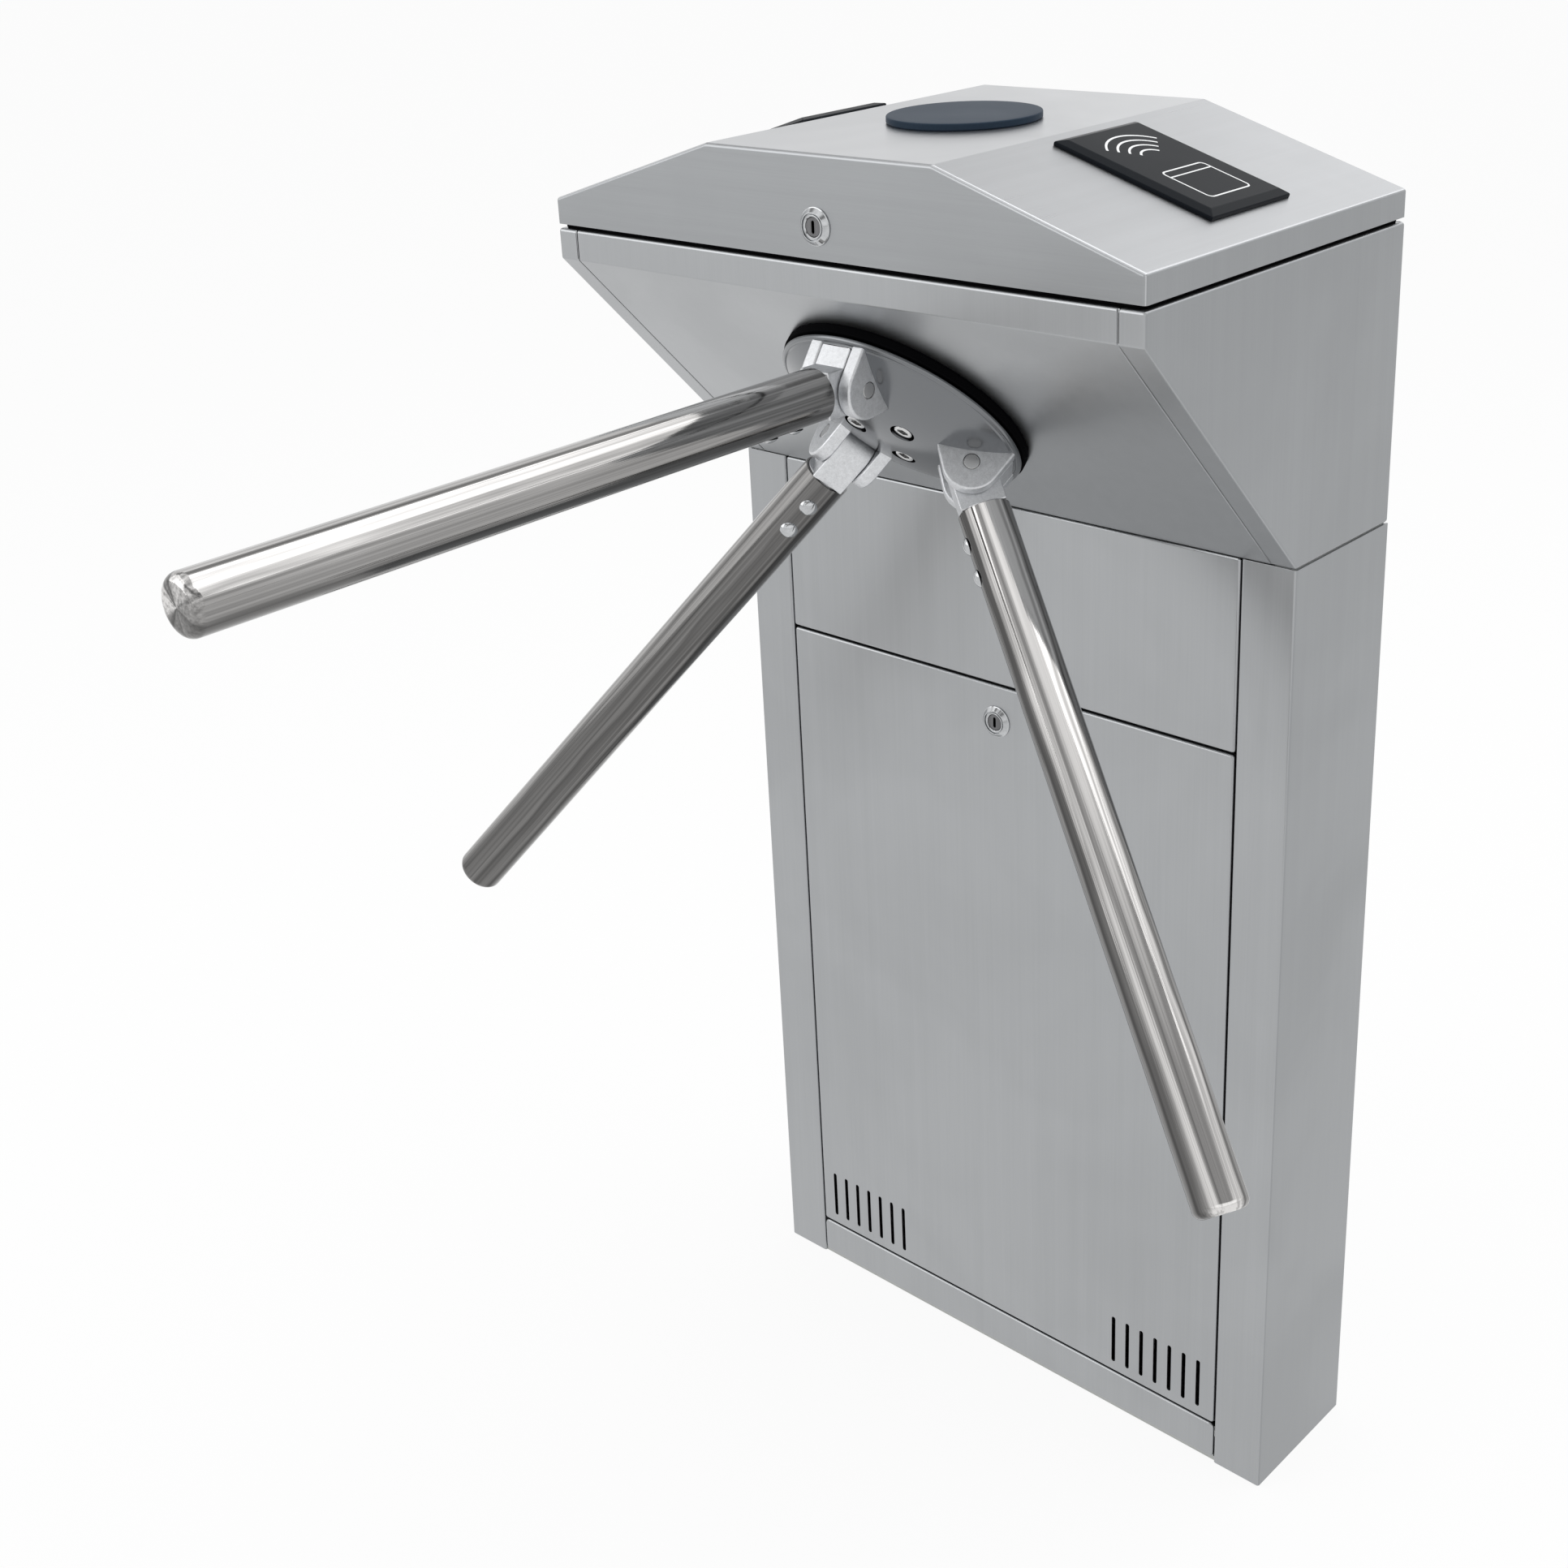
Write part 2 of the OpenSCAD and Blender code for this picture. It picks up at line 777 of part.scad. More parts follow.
// The domed hub, with three pairs of ears and a pocket for each knuckle
module ear_outline() {
    centre = [pivot_r, pivot_h];
    back = centre - [ear_back, ear_back_drop];
    fore = centre + [ear_fore, -ear_fore_drop];
    polygon([
        [back[0], rim_top], back, touch(back, centre, ear_r, -1), centre,
        touch(fore, centre, ear_r, 1), fore, [fore[0], rim_top - rim_t / 2],
        [back[0], rim_top - rim_t / 2]
    ]);
    translate(centre) circle(r = ear_r);
}
module hub_dome() {
    mid = hub_under + rim_t / 2;
    bar_z(dome_base_r, hub_under, mid + over);
    intersection() {
        translate([0, 0, dome_top - dome_r]) sphere(r = dome_r);
        bar_z(hub_r, mid, dome_top + over);
    }
    translate([0, 0, mid]) {
        rotate_extrude() translate([dome_base_r, 0]) circle(r = rim_t / 2);
    }
}
module knuckle_room() {
    room = ear_in + fit_gap;
    wide = knuckle_half_w + pocket_clear;
    bar_x(wide, -room, room);
    rotate([fold_angle - slope_angle, 0, 0]) {
        block([-room, -wide + lay_gap, 0], [room, wide - lay_gap, tube_start]);
    }
}
module hub() color("lightslategray") {
    at_hub() {
        difference() {
            union() {
                hub_dome();
                for (k = [0 : arm_count - 1]) {
                    rotate([0, 0, -k * arm_turn]) both_sides() {
                        along_x(ear_in, ear_out) ear_outline();
                    }
                }
            }
            for (k = [0 : arm_count - 1]) {
                at_ear(k) knuckle_room();
                at_ear(k) bar_x(pin_r + fit_gap, -ear_out - over, ear_out + over);
            }
            at_hub_bolts() {
                bar_z(hub_bolt_r + fit_gap, 0, dome_top);
                bar_z(hub_bolt_head_r + bolt_head_clear, bolt_seat, dome_top + over);
            }
        }
    }
}
module at_hub_bolts() {
    for (k = [0 : arm_count - 1]) {
        rotate([0, 0, (k + 1 / 2) * arm_turn]) translate([0, hub_bolt_circle_r, 0]) children();
    }
}

module hub_bolts() color("gainsboro") {
    at_hub() at_hub_bolts() {
        bar_z(hub_bolt_r, -flange_depth + turn_gap, bolt_seat + over);
        difference() {
            bar_z(hub_bolt_head_r, bolt_seat, bolt_seat + bolt_head_h);
            translate([0, 0, bolt_seat + bolt_head_h - bolt_socket_d]) {
                cylinder(r = bolt_socket_r, h = bolt_socket_d + over, $fn = 6);
            }
        }
    }
}

module pivot_pins() color("gainsboro") {
    at_hub() {
        for (k = [0 : arm_count - 1]) {
            at_ear(k) bar_x(pin_r, -ear_out - lay_gap, ear_out + lay_gap);
        }
    }
}

module main_shaft() color("gray") {
    at_hub() {
        difference() {
            union() {
                bar_z(flange_r, -flange_depth, hub_under);
                bar_z(shoulder_r, -plate_depth + turn_gap, -flange_depth);
                bar_z(shaft_r, -shaft_end, -flange_depth);
            }
            at_hub_bolts() bar_z(hub_bolt_r + fit_gap, -flange_depth - over, hub_under + over);
        }
    }
}

module shaft_bearings() color("silver") {
    at_hub() {
        for (low = [-plate_depth - bearing_w, -housing_end]) {
            difference() {
                bar_z(bearing_r, low, low + bearing_w);
                bar_z(shaft_r + run_clear, low - over, low + bearing_w + over);
            }
        }
    }
}

module mechanism_plate() color("slategray") {
    at_hub() {
        difference() {
            union() {
                block([-plate_half_w, -plate_down, -plate_depth - plate_t],
                    [plate_half_w, plate_up, -plate_depth]);
                bar_z(housing_r, -housing_end, -plate_depth);
            }
            bar_z(bearing_r + fit_gap, -housing_end - over, -plate_depth + over);
        }
    }
}

// Posts: four that hold the plate off the slope, and those that stand on its back
module at_crank() {
    rotate([0, 0, crank_angle]) translate([pinion_distance, 0, 0])
        rotate([0, 0, -crank_angle]) children();
}
module at_damper() {
    rotate([0, 0, damper_angle]) translate([pinion_distance, 0, 0])
        rotate([0, 0, -damper_angle]) children();
}
module mechanism_posts() color("silver") {
    plate_back = -plate_depth - plate_t;
    at_hub() {
        both_sides() {
            for (up = [standoff_up, -standoff_down]) {
                translate([standoff_x, up, 0]) bar_z(standoff_r, -plate_depth, -sheet);
            }
            translate([pawl_x, -pawl_down, 0]) {
                bar_z(pawl_post_shoulder_r, -wheel_from + turn_gap, plate_back);
                bar_z(pawl_post_r, -wheel_to - stack_gap, plate_back);
            }
        }
        at_crank() {
            bar_z(arbor_sleeve_r, -gear_from + turn_gap, plate_back);
            bar_z(arbor_r, -gear_to - stack_gap, plate_back);
            translate([-spring_reach, 0, 0]) bar_z(spring_post_r, -gear_from, plate_back);
        }
    }
}

// A gear blank with straight-sided teeth, centred on a tooth at +X
function tooth(i, teeth, pitch, m) = let (
    half = thick_share * PI * m / 2,
    low = pitch - root_share * m,
    high = pitch + tip_share * m,
    low_w = (half + root_share * m * tan(flank_angle)) / pitch * 180 / PI,
    high_w = (half - tip_share * m * tan(flank_angle)) / pitch * 180 / PI
) [
    for (p = [[low, -low_w], [high, -high_w], [high, high_w], [low, low_w]])
        p[0] * [cos(i * 360 / teeth + p[1]), sin(i * 360 / teeth + p[1])]
];
module gear(teeth, pitch, bore) {
    points = [for (i = [0 : teeth - 1]) each tooth(i, teeth, pitch, gear_module)];
    difference() {
        translate([0, 0, -gear_to]) linear_extrude(gear_t) polygon(points);
        bar_z(bore, -gear_to - over, -gear_from + over);
    }
}
// Turn that puts a pinion in mesh with the shaft gear in the direction given
function mesh_turn(direction) =
    direction * (1 + gear_teeth / pinion_teeth) + 180 + 180 / pinion_teeth;

module shaft_gear() color("goldenrod") {
    at_hub() gear(gear_teeth, gear_r, shaft_r + fit_gap);
}
module crank_pinion() color("goldenrod") {
    at_hub() at_crank() {
        rotate([0, 0, mesh_turn(crank_angle)]) {
            gear(pinion_teeth, pinion_r, arbor_r + run_clear);
        }
        translate([-crank_r, 0, 0]) bar_z(crank_pin_r, -gear_from - over, -gear_from + crank_pin_len);
    }
}
module damper_pinion() color("goldenrod") {
    at_hub() at_damper() {
        rotate([0, 0, mesh_turn(damper_angle)]) gear(pinion_teeth, pinion_r, arbor_r - over);
        bar_z(arbor_r, -gear_to, -plate_depth - plate_t - damper_floor - turn_gap);
    }
}
module damper_body() color("black") {
    plate_back = -plate_depth - plate_t;
    at_hub() at_damper() {
        difference() {
            bar_z(damper_r, plate_back - damper_len, plate_back);
            bar_z(arbor_r + run_clear, plate_back - damper_len - over, plate_back - damper_floor);
        }
    }
}

module spring_eye() {
    difference() {
        bar_z(spring_eye_r, -spring_depth - spring_eye_t / 2, -spring_depth + spring_eye_t / 2);
        children();
    }
}
module centring_spring() color("dimgray") {
    far = -spring_reach;
    at_hub() at_crank() {
        translate([-crank_r, 0, 0]) {
            spring_eye() bar_z(crank_pin_r + lay_gap, -gear_to, 0);
        }
        translate([far, 0, 0]) {
            difference() {
                bar_z(spring_post_r + spring_wire_r + lay_gap,
                    -spring_depth - spring_eye_t / 2, -spring_depth + spring_eye_t / 2);
                bar_z(spring_post_r + lay_gap, -gear_to, 0);
            }
        }
        translate([0, 0, -spring_depth]) {
            bar_x(spring_wire_r, far + spring_post_r + spring_wire_r, -crank_r - spring_eye_r + over);
            bar_x(spring_r, far + spring_hook_len, -crank_r - spring_hook_len);
        }
    }
}

module lock_wheel() color("silver") {
    at_hub() {
        difference() {
            bar_z(lock_wheel_r, -wheel_to, -wheel_from);
            bar_z(shaft_r + fit_gap, -wheel_to - over, -wheel_from + over);
            for (i = [0 : notch_count - 1]) {
                rotate([0, 0, i * 360 / notch_count]) {
                    block([lock_wheel_r - notch_depth, -notch_w / 2, -wheel_to - over],
                        [lock_wheel_r + notch_depth, notch_w / 2, -wheel_from + over]);
                }
            }
        }
    }
}

// A pawl on its post, with its nose just clear of the wheel
module pawl() color("dimgray") {
    tip_x = lock_wheel_r + pawl_gap;
    tail_x = pawl_x + pawl_arm_w / 2;
    difference() {
        union() {
            translate([0, 0, -wheel_to]) linear_extrude(lock_wheel_t) {
                polygon([
                    [tip_x, -nose_half_w], [pawl_x + over, -nose_root_half_w],
                    [pawl_x + over, nose_root_half_w], [tip_x, nose_half_w]
                ]);
            }
            block([pawl_x, -pawl_down, -wheel_to],
                [pawl_x + pawl_arm_w, pawl_tail_up + pawl_tail_end, -wheel_from]);
            translate([pawl_x, -pawl_down, 0]) bar_z(pawl_boss_r, -wheel_to, -wheel_from);
        }
        translate([pawl_x, -pawl_down, 0]) {
            bar_z(pawl_post_r + run_clear, -wheel_to - over, -wheel_from + over);
        }
        translate([tail_x, pawl_tail_up, 0]) {
            bar_z(link_r + link_clear, -wheel_to - over, -wheel_from + over);
        }
    }
}
module right_pawl() at_hub() pawl();
module left_pawl() at_hub() left_side() pawl();

module plunger() color("gainsboro") {
    link_x = pawl_x + pawl_arm_w / 2;
    translate([0, pawl_tail_up, -plunger_depth]) {
        bar_x(plunger_r, link_x - plunger_front, link_x - plunger_front + plunger_len);
    }
    translate([link_x, pawl_tail_up, 0]) bar_z(link_r, -plunger_depth, -wheel_from);
}
module right_plunger() at_hub() plunger();
module left_plunger() at_hub() left_side() plunger();

// A solenoid on its bracket
module solenoid() {
    low = -plunger_depth - solenoid_w / 2;
    high = -plunger_depth + solenoid_w / 2;
    up = pawl_tail_up - solenoid_w / 2;
    mid_x = solenoid_x + solenoid_len / 2;
    difference() {
        block([solenoid_x, up, low], [solenoid_x + solenoid_len, up + solenoid_w, high]);
        translate([0, pawl_tail_up, -plunger_depth]) {
            bar_x(plunger_r + plunger_clear, solenoid_x - over,
                solenoid_x + solenoid_len - solenoid_wall);
        }
    }
    difference() {
        block([mid_x - bracket_w / 2, up, high],
            [mid_x + bracket_w / 2, up + solenoid_w, -plate_depth - plate_t]);
        block([mid_x - bracket_w / 2 + bracket_wall, up - over, high + bracket_wall],
            [mid_x + bracket_w / 2 - bracket_wall, up + solenoid_w + over,
                -plate_depth - plate_t - bracket_wall]);
    }
}
module solenoids() color("darkred") at_hub() both_sides() solenoid();

module sensor_disc() color("gray") {
    at_hub() {
        difference() {
            bar_z(sensor_disc_r, -disc_to, -disc_from);
            bar_z(shaft_r + fit_gap, -disc_to - over, -disc_from + over);
            for (i = [0 : sensor_slots - 1]) {
                rotate([0, 0, i * 360 / sensor_slots + sensor_slot_turn]) {
                    block([sensor_disc_r - sensor_slot_d, -notch_w / 2, -disc_to - over],
                        [sensor_disc_r + over, notch_w / 2, -disc_from + over]);
                }
            }
        }
    }
}
module sensor_fork() color("black") {
    in_y = sensor_disc_r - fork_overlap;
    out_y = sensor_disc_r + fork_overlap;
    low = -disc_to - fork_gap - fork_arm_t;
    high = -disc_from + fork_gap + fork_arm_t;
    at_hub() rotate([0, 0, fork_turn]) {
        difference() {
            block([-fork_w / 2, in_y, low], [fork_w / 2, out_y + fork_post_t, high]);
            block([-fork_w, in_y - over, low + fork_arm_t], [fork_w, out_y, high - fork_arm_t]);
        }
        block([-fork_w / 2, out_y, low], [fork_w / 2, out_y + fork_post_t, -plate_depth - plate_t]);
    }
}

module shaft_nut() color("silver") {
    at_hub() {
        difference() {
            translate([0, 0, -nut_from - nut_h]) cylinder(r = nut_r, h = nut_h, $fn = 6);
            bar_z(shaft_r + fit_gap, -nut_from - nut_h - over, -nut_from + over);
        }
    }
}

// An arm: its tube with a closed end, its knuckle and its two screws
module arm_tube(k) color("gainsboro") {
    edge = arm_reach - arm_end_round;
    at_arm(k) {
        difference() {
            union() {
                bar_z(arm_r, tube_start, edge);
                bar_z(arm_r - arm_end_round, edge, arm_reach);
                translate([0, 0, edge]) rotate_extrude() {
                    translate([arm_r - arm_end_round, 0]) circle(r = arm_end_round);
                }
            }
            bar_z(arm_r - arm_wall, tube_start - over, edge);
            tube_screw_places() bar_y(tube_screw_r + screw_clear, -arm_r - over, 0);
        }
    }
}
module tube_screw_places() {
    for (i = [0, 1]) {
        translate([0, 0, tube_screw_first + i * tube_screw_pitch]) children();
    }
}
module arm_knuckle(k) color("silver") {
    at_arm(k) {
        difference() {
            union() {
                bar_x(knuckle_half_w, -knuckle_t / 2, knuckle_t / 2);
                block([-knuckle_t / 2, -knuckle_half_w, 0],
                    [knuckle_t / 2, knuckle_half_w, tube_start - fit_gap]);
                bar_z(arm_r - arm_wall - lay_gap, 0, tube_start + spigot_len);
                knuckle_foot();
            }
            bar_x(pin_r + run_clear, -knuckle_t, knuckle_t);
            spigot_side_cuts();
            tube_screw_places() bar_y(tube_screw_r + fit_gap, -arm_r - over, -over);
        }
    }
}
// The foot fills the ears' outline up the slope, so the arm stops when it stands out
function dome_height(r) = dome_top - dome_r + sqrt(pow(dome_r, 2) - pow(r, 2));
module knuckle_foot() {
    centre = [pivot_r, pivot_h];
    fore = centre + [ear_fore, -ear_fore_drop];
    near_y = pivot_r + foot_from_share * knuckle_half_w;
    rotate([slope_angle, 0, 0]) translate([0, -pivot_r, -pivot_h]) {
        along_x(-knuckle_t / 2, knuckle_t / 2) polygon([
            centre, [near_y, dome_height(near_y) + foot_gap],
            [fore[0], dome_height(fore[0]) + foot_gap], touch(fore, centre, ear_r, 1)
        ]);
    }
}
// The spigot is cut to the knuckle's own thickness where it lies between the ears
module spigot_side_cuts() {
    both_sides() {
        block([knuckle_t / 2, -arm_r, -arm_r], [arm_r, arm_r, tube_start - sheet]);
    }
}
module arm_screws(k) color("gainsboro") {
    head_h = tube_screw_head_r / 2;
    ball_r = (pow(tube_screw_head_r, 2) + pow(head_h, 2)) / 2 / head_h;
    at_arm(k) tube_screw_places() {
        bar_y(tube_screw_r, -arm_r - over, -arm_r / 2);
        intersection() {
            translate([0, -arm_r - head_h + ball_r, 0]) sphere(r = ball_r);
            bar_y(tube_screw_head_r, -arm_r - head_h, -arm_r);
        }
    }
}
module level_arm_tube() arm_tube(0);
module level_arm_knuckle() arm_knuckle(0);
module level_arm_screws() arm_screws(0);
module right_arm_tube() arm_tube(1);
module right_arm_knuckle() arm_knuckle(1);
module right_arm_screws() arm_screws(1);
module left_arm_tube() arm_tube(2);
module left_arm_knuckle() arm_knuckle(2);
module left_arm_screws() arm_screws(2);

// The lid: a folded shell with a flange inside its lower edge
module lid_shell() color("silver") {
    difference() {
        along_y(head_front_y, back_y) polygon(lid_outline(0, lid_bottom));
        along_y(head_front_y + sheet, back_y - sheet) {
            polygon(lid_outline(sheet, lid_bottom + sheet));
        }
        block([-side_x + lid_flange_w, head_front_y + lid_flange_w, lid_bottom - over],
            [side_x - lid_flange_w, back_y - lid_flange_w, eave_z - lid_lip_h / 2]);
        translate([0, 0, lid_lock_z]) {
            bar_y(barrel_r + screw_clear, head_front_y - over, head_front_y + lid_flange_w);
        }
        translate([0, fitting_mid_y, 0]) bar_z(disc_stem_r + screw_clear, eave_z, roof_z + over);
        both_sides() at_roof() {
            translate([window_down + window_len / 2, 0, 0]) bar_z(wire_hole_r, -board_gap, over);
        }
    }
}

module status_disc() color("black") {
    translate([0, fitting_mid_y, roof_z]) {
        bar_z(disc_r, 0, disc_h - disc_round);
        bar_z(disc_r - disc_round, 0, disc_h);
        translate([0, 0, disc_h - disc_round]) {
            rotate_extrude() translate([disc_r - disc_round, 0]) circle(r = disc_round);
        }
        bar_z(disc_stem_r, -disc_stem_len, over);
    }
}

// A black window on each slope of the lid, with bevelled edges
module reader_windows() color("black") {
    half_l = window_len / 2;
    half_w = window_w / 2;
    edge_h = window_h / 2;
    both_sides() at_roof() translate([window_down + half_l, 0, 0]) {
        intersection() {
            block([-half_l, -half_w, 0], [half_l, half_w, window_h]);
            along_x(-half_l, half_l) {
                polygon([
                    [-half_w, 0], [half_w, 0], [half_w, edge_h],
                    [half_w - window_bevel, window_h], [-half_w + window_bevel, window_h],
                    [-half_w, edge_h]
                ]);
            }
            along_y(-half_w, half_w) {
                polygon([
                    [-half_l, 0], [half_l, 0], [half_l, edge_h],
                    [half_l - window_bevel, window_h], [-half_l + window_bevel, window_h],
                    [-half_l, edge_h]
                ]);
            }
        }
    }
}

// Boards on posts under the windows and the disc
module lid_board() {
    top = -sheet - board_gap;
    difference() {
        block([-board_l / 2, -board_w / 2, top - board_t], [board_l / 2, board_w / 2, top]);
        bar_z(disc_stem_r + over, top - board_t - over, top + over);
    }
    for (x = [-1, 1], y = [-1, 1]) {
        translate([x * (board_l / 2 - board_inset), y * (board_w / 2 - board_inset), 0]) {
            bar_z(board_post_r, top, -sheet);
        }
    }
}
module lid_boards() color("darkgreen") {
    both_sides() at_roof() translate([window_down + window_len / 2, 0, 0]) lid_board();
    translate([0, fitting_mid_y, roof_z]) lid_board();
}

// Hinges outside the back: fixed middle knuckles with their pins, and moving end knuckles
module at_hinges() {
    both_sides() translate([hinge_x, 0, 0]) children();
}
module leaf_knuckle(from, to, bore) {
    translate([0, hinge_y, hinge_z]) {
        difference() {
            bar_x(knuckle_r, from, to);
            bar_x(bore, from - over, to + over);
        }
    }
}
module hinge_fixed_leaves() color("gainsboro") {
    half = hinge_w * hinge_share / 2;
    leaf_top = hinge_z - knuckle_r - lay_gap;
    at_hinges() {
        block([-hinge_w / 2, back_y, head_top - leaf_h], [hinge_w / 2, back_y + leaf_t, leaf_top]);
        block([-half, back_y, leaf_top - over], [half, back_y + leaf_t, hinge_z]);
        leaf_knuckle(-half, half, hinge_pin_r + fit_gap);
        translate([0, hinge_y, hinge_z]) bar_x(hinge_pin_r, -hinge_w / 2, hinge_w / 2);
    }
}
module hinge_moving_leaves() color("gainsboro") {
    from = hinge_w * hinge_share / 2 + lay_gap;
    leaf_low = hinge_z + knuckle_r + lay_gap;
    at_hinges() {
        block([-hinge_w / 2, back_y, leaf_low], [hinge_w / 2, back_y + leaf_t, lid_bottom + leaf_h]);
        both_sides() {
            block([from, back_y, hinge_z], [hinge_w / 2, back_y + leaf_t, leaf_low + over]);
            leaf_knuckle(from, hinge_w / 2, hinge_pin_r + run_clear);
        }
    }
}

// Cam locks: a barrel with its bezel and nut, and a plug with its key slot and cam
module lock_barrel(face_y, length) {
    difference() {
        union() {
            translate([0, face_y, 0]) rotate([90, 0, 0]) {
                cylinder(r = bezel_r, h = bezel_t - bezel_chamfer);
                translate([0, 0, bezel_t - bezel_chamfer]) {
                    cylinder(r1 = bezel_r, r2 = bezel_r - bezel_chamfer, h = bezel_chamfer);
                }
            }
            bar_y(barrel_r, face_y - over, face_y + length);
        }
        bar_y(plug_r + run_clear, face_y - bezel_t - over, face_y + length + over);
    }
    difference() {
        translate([0, face_y + sheet, 0]) rotate([-90, 0, 0]) {
            cylinder(r = lock_nut_r, h = lock_nut_t, $fn = 6);
        }
        bar_y(barrel_r + fit_gap, face_y + sheet - over, face_y + sheet + lock_nut_t + over);
    }
}
module lock_plug(face_y, length) {
    back = face_y + length + cam_gap;
    difference() {
        bar_y(plug_r, face_y - bezel_t + plug_recess, back + cam_t);
        block([-key_slot_w / 2, face_y - bezel_t - over, -key_slot_h / 2],
            [key_slot_w / 2, face_y - bezel_t + key_slot_d, key_slot_h / 2]);
    }
    children();
}
module lid_lock_barrel() color("gainsboro") {
    translate([0, 0, lid_lock_z]) lock_barrel(head_front_y, lid_barrel_len);
}
module lid_lock_plug() color("gray") {
    back = head_front_y + lid_barrel_len + cam_gap;
    translate([0, 0, lid_lock_z]) {
        lock_plug(head_front_y, lid_barrel_len) {
            block([-cam_w / 2, back, -lid_cam_len], [cam_w / 2, back + cam_t, cam_w / 2]);
        }
    }
}
module door_lock_barrel() color("gainsboro") {
    translate([0, 0, door_lock_z]) lock_barrel(front_y, door_barrel_len);
}
module door_lock_plug() color("gray") {
    back = front_y + door_barrel_len + cam_gap;
    translate([0, 0, door_lock_z]) {
        lock_plug(front_y, door_barrel_len) {
            block([-cam_w / 2, back, -cam_w / 2], [door_cam_len, back + cam_t, cam_w / 2]);
        }
    }
}

// The lift-off door, with its folded edges, its vents and its two locating tabs
module vent_slot() {
    block([-vent_w / 2, front_y - over, vent_w / 2],
        [vent_w / 2, front_y + sheet + over, vent_h - vent_w / 2]);
    for (z = [vent_w / 2, vent_h - vent_w / 2]) {
        translate([0, 0, z]) bar_y(vent_w / 2, front_y - over, front_y + sheet + over);
    }
}
module service_door() color("silver") {
    difference() {
        block([-door_half_w, front_y, door_bottom], [door_half_w, front_y + sheet, door_top]);
        translate([0, 0, door_lock_z]) {
            bar_y(barrel_r + screw_clear, front_y - over, front_y + sheet + over);
        }
        for (i = [0 : vent_count - 1]) {
            both_sides() {
                translate([vent_group_x + (i - (vent_count - 1) / 2) * vent_pitch, 0,
                        door_bottom + vent_up]) {
                    vent_slot();
                }
            }
        }
    }
    for (z = [door_bottom, door_top - sheet]) {
        block([-door_half_w, front_y, z], [door_half_w, front_y + return_d, z + sheet]);
    }
    both_sides() {
        block([door_half_w - sheet, front_y, door_bottom],
            [door_half_w, front_y + return_d, door_top]);
        block([tab_x - tab_w / 2, front_y + return_d - sheet, sill_top - tab_drop],
            [tab_x + tab_w / 2, front_y + return_d, door_bottom + sheet]);
    }
}

// Electronics: the control board on the head's back, the supply and terminals below it
module control_board() color("darkgreen") {
    face_y = back_y - sheet - pcb_off;
    block([-pcb_w / 2, face_y - board_t, pcb_z], [pcb_w / 2, face_y, pcb_z + pcb_h]);
    for (x = [-1, 1], z = [board_inset, pcb_h - board_inset]) {
        translate([x * (pcb_w / 2 - board_inset), 0, pcb_z + z]) {
            bar_y(board_post_r, face_y - over, back_y - sheet);
        }
    }
    for (i = [0 : relay_count - 1]) {
        translate([-pcb_w / 2 + (i + 1) * pcb_w / (relay_count + 1), 0, pcb_z + pcb_h / 3]) {
            block([-relay_w / 2, face_y - board_t - relay_d, 0], [relay_w / 2, face_y - over, relay_h]);
        }
    }
}
module power_supply() color("silver") {
    block([-supply_w / 2, back_y - sheet - supply_d, supply_z],
        [supply_w / 2, back_y - sheet, supply_z + supply_h]);
}
module terminal_strip() color("dimgray") {
    block([-strip_w / 2, back_y - sheet - strip_d, strip_z],
        [strip_w / 2, back_y - sheet, strip_z + strip_h]);
    for (i = [0 : strip_poles - 1]) {
        translate([-strip_w / 2 + (i + 1 / 2) * strip_w / strip_poles, 0, strip_z + strip_h / 2]) {
            bar_y(strip_screw_r, back_y - sheet - strip_d - strip_screw_h, back_y - sheet - over);
        }
    }
}

base_plate();
cable_grommet();
left_post();
right_post();
pedestal_back();
upper_front_panel();
front_sill();
deck_plate();
left_head_side();
right_head_side();
head_back();
front_fascia();
cabinet_screws();
lid_seal();
lid_keeper();
trim_ring();
mechanism_posts();
mechanism_plate();
shaft_bearings();
solenoids();
damper_body();
centring_spring();
sensor_fork();
control_board();
power_supply();
terminal_strip();
hinge_fixed_leaves();
main_shaft();
hub();
hub_bolts();
pivot_pins();
shaft_gear();
lock_wheel();
sensor_disc();
shaft_nut();
level_arm_tube();
level_arm_knuckle();
level_arm_screws();
right_arm_tube();
right_arm_knuckle();
right_arm_screws();
left_arm_tube();
left_arm_knuckle();
left_arm_screws();
crank_pinion();
damper_pinion();
right_pawl();
left_pawl();
right_plunger();
left_plunger();
lid_shell();
status_disc();
reader_windows();
lid_boards();
lid_lock_barrel();
hinge_moving_leaves();
lid_lock_plug();
service_door();
door_lock_barrel();
door_lock_plug();
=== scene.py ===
"""Looks of a tripod turnstile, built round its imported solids.

Every length in the classes is in millimetres, in the part's own frame: +X to the right seen
from the front, +Y to the back, +Z up, with the floor at zero. A surface is turned into metres
when it is made into a piece.
"""

import logging
import math
from dataclasses import dataclass, field
from enum import Enum
from functools import cached_property
from typing import Iterable, Sequence, Union

import bmesh
import bpy
import numpy as np
from mathutils import Matrix, Vector
from mathutils.geometry import delaunay_2d_cdt


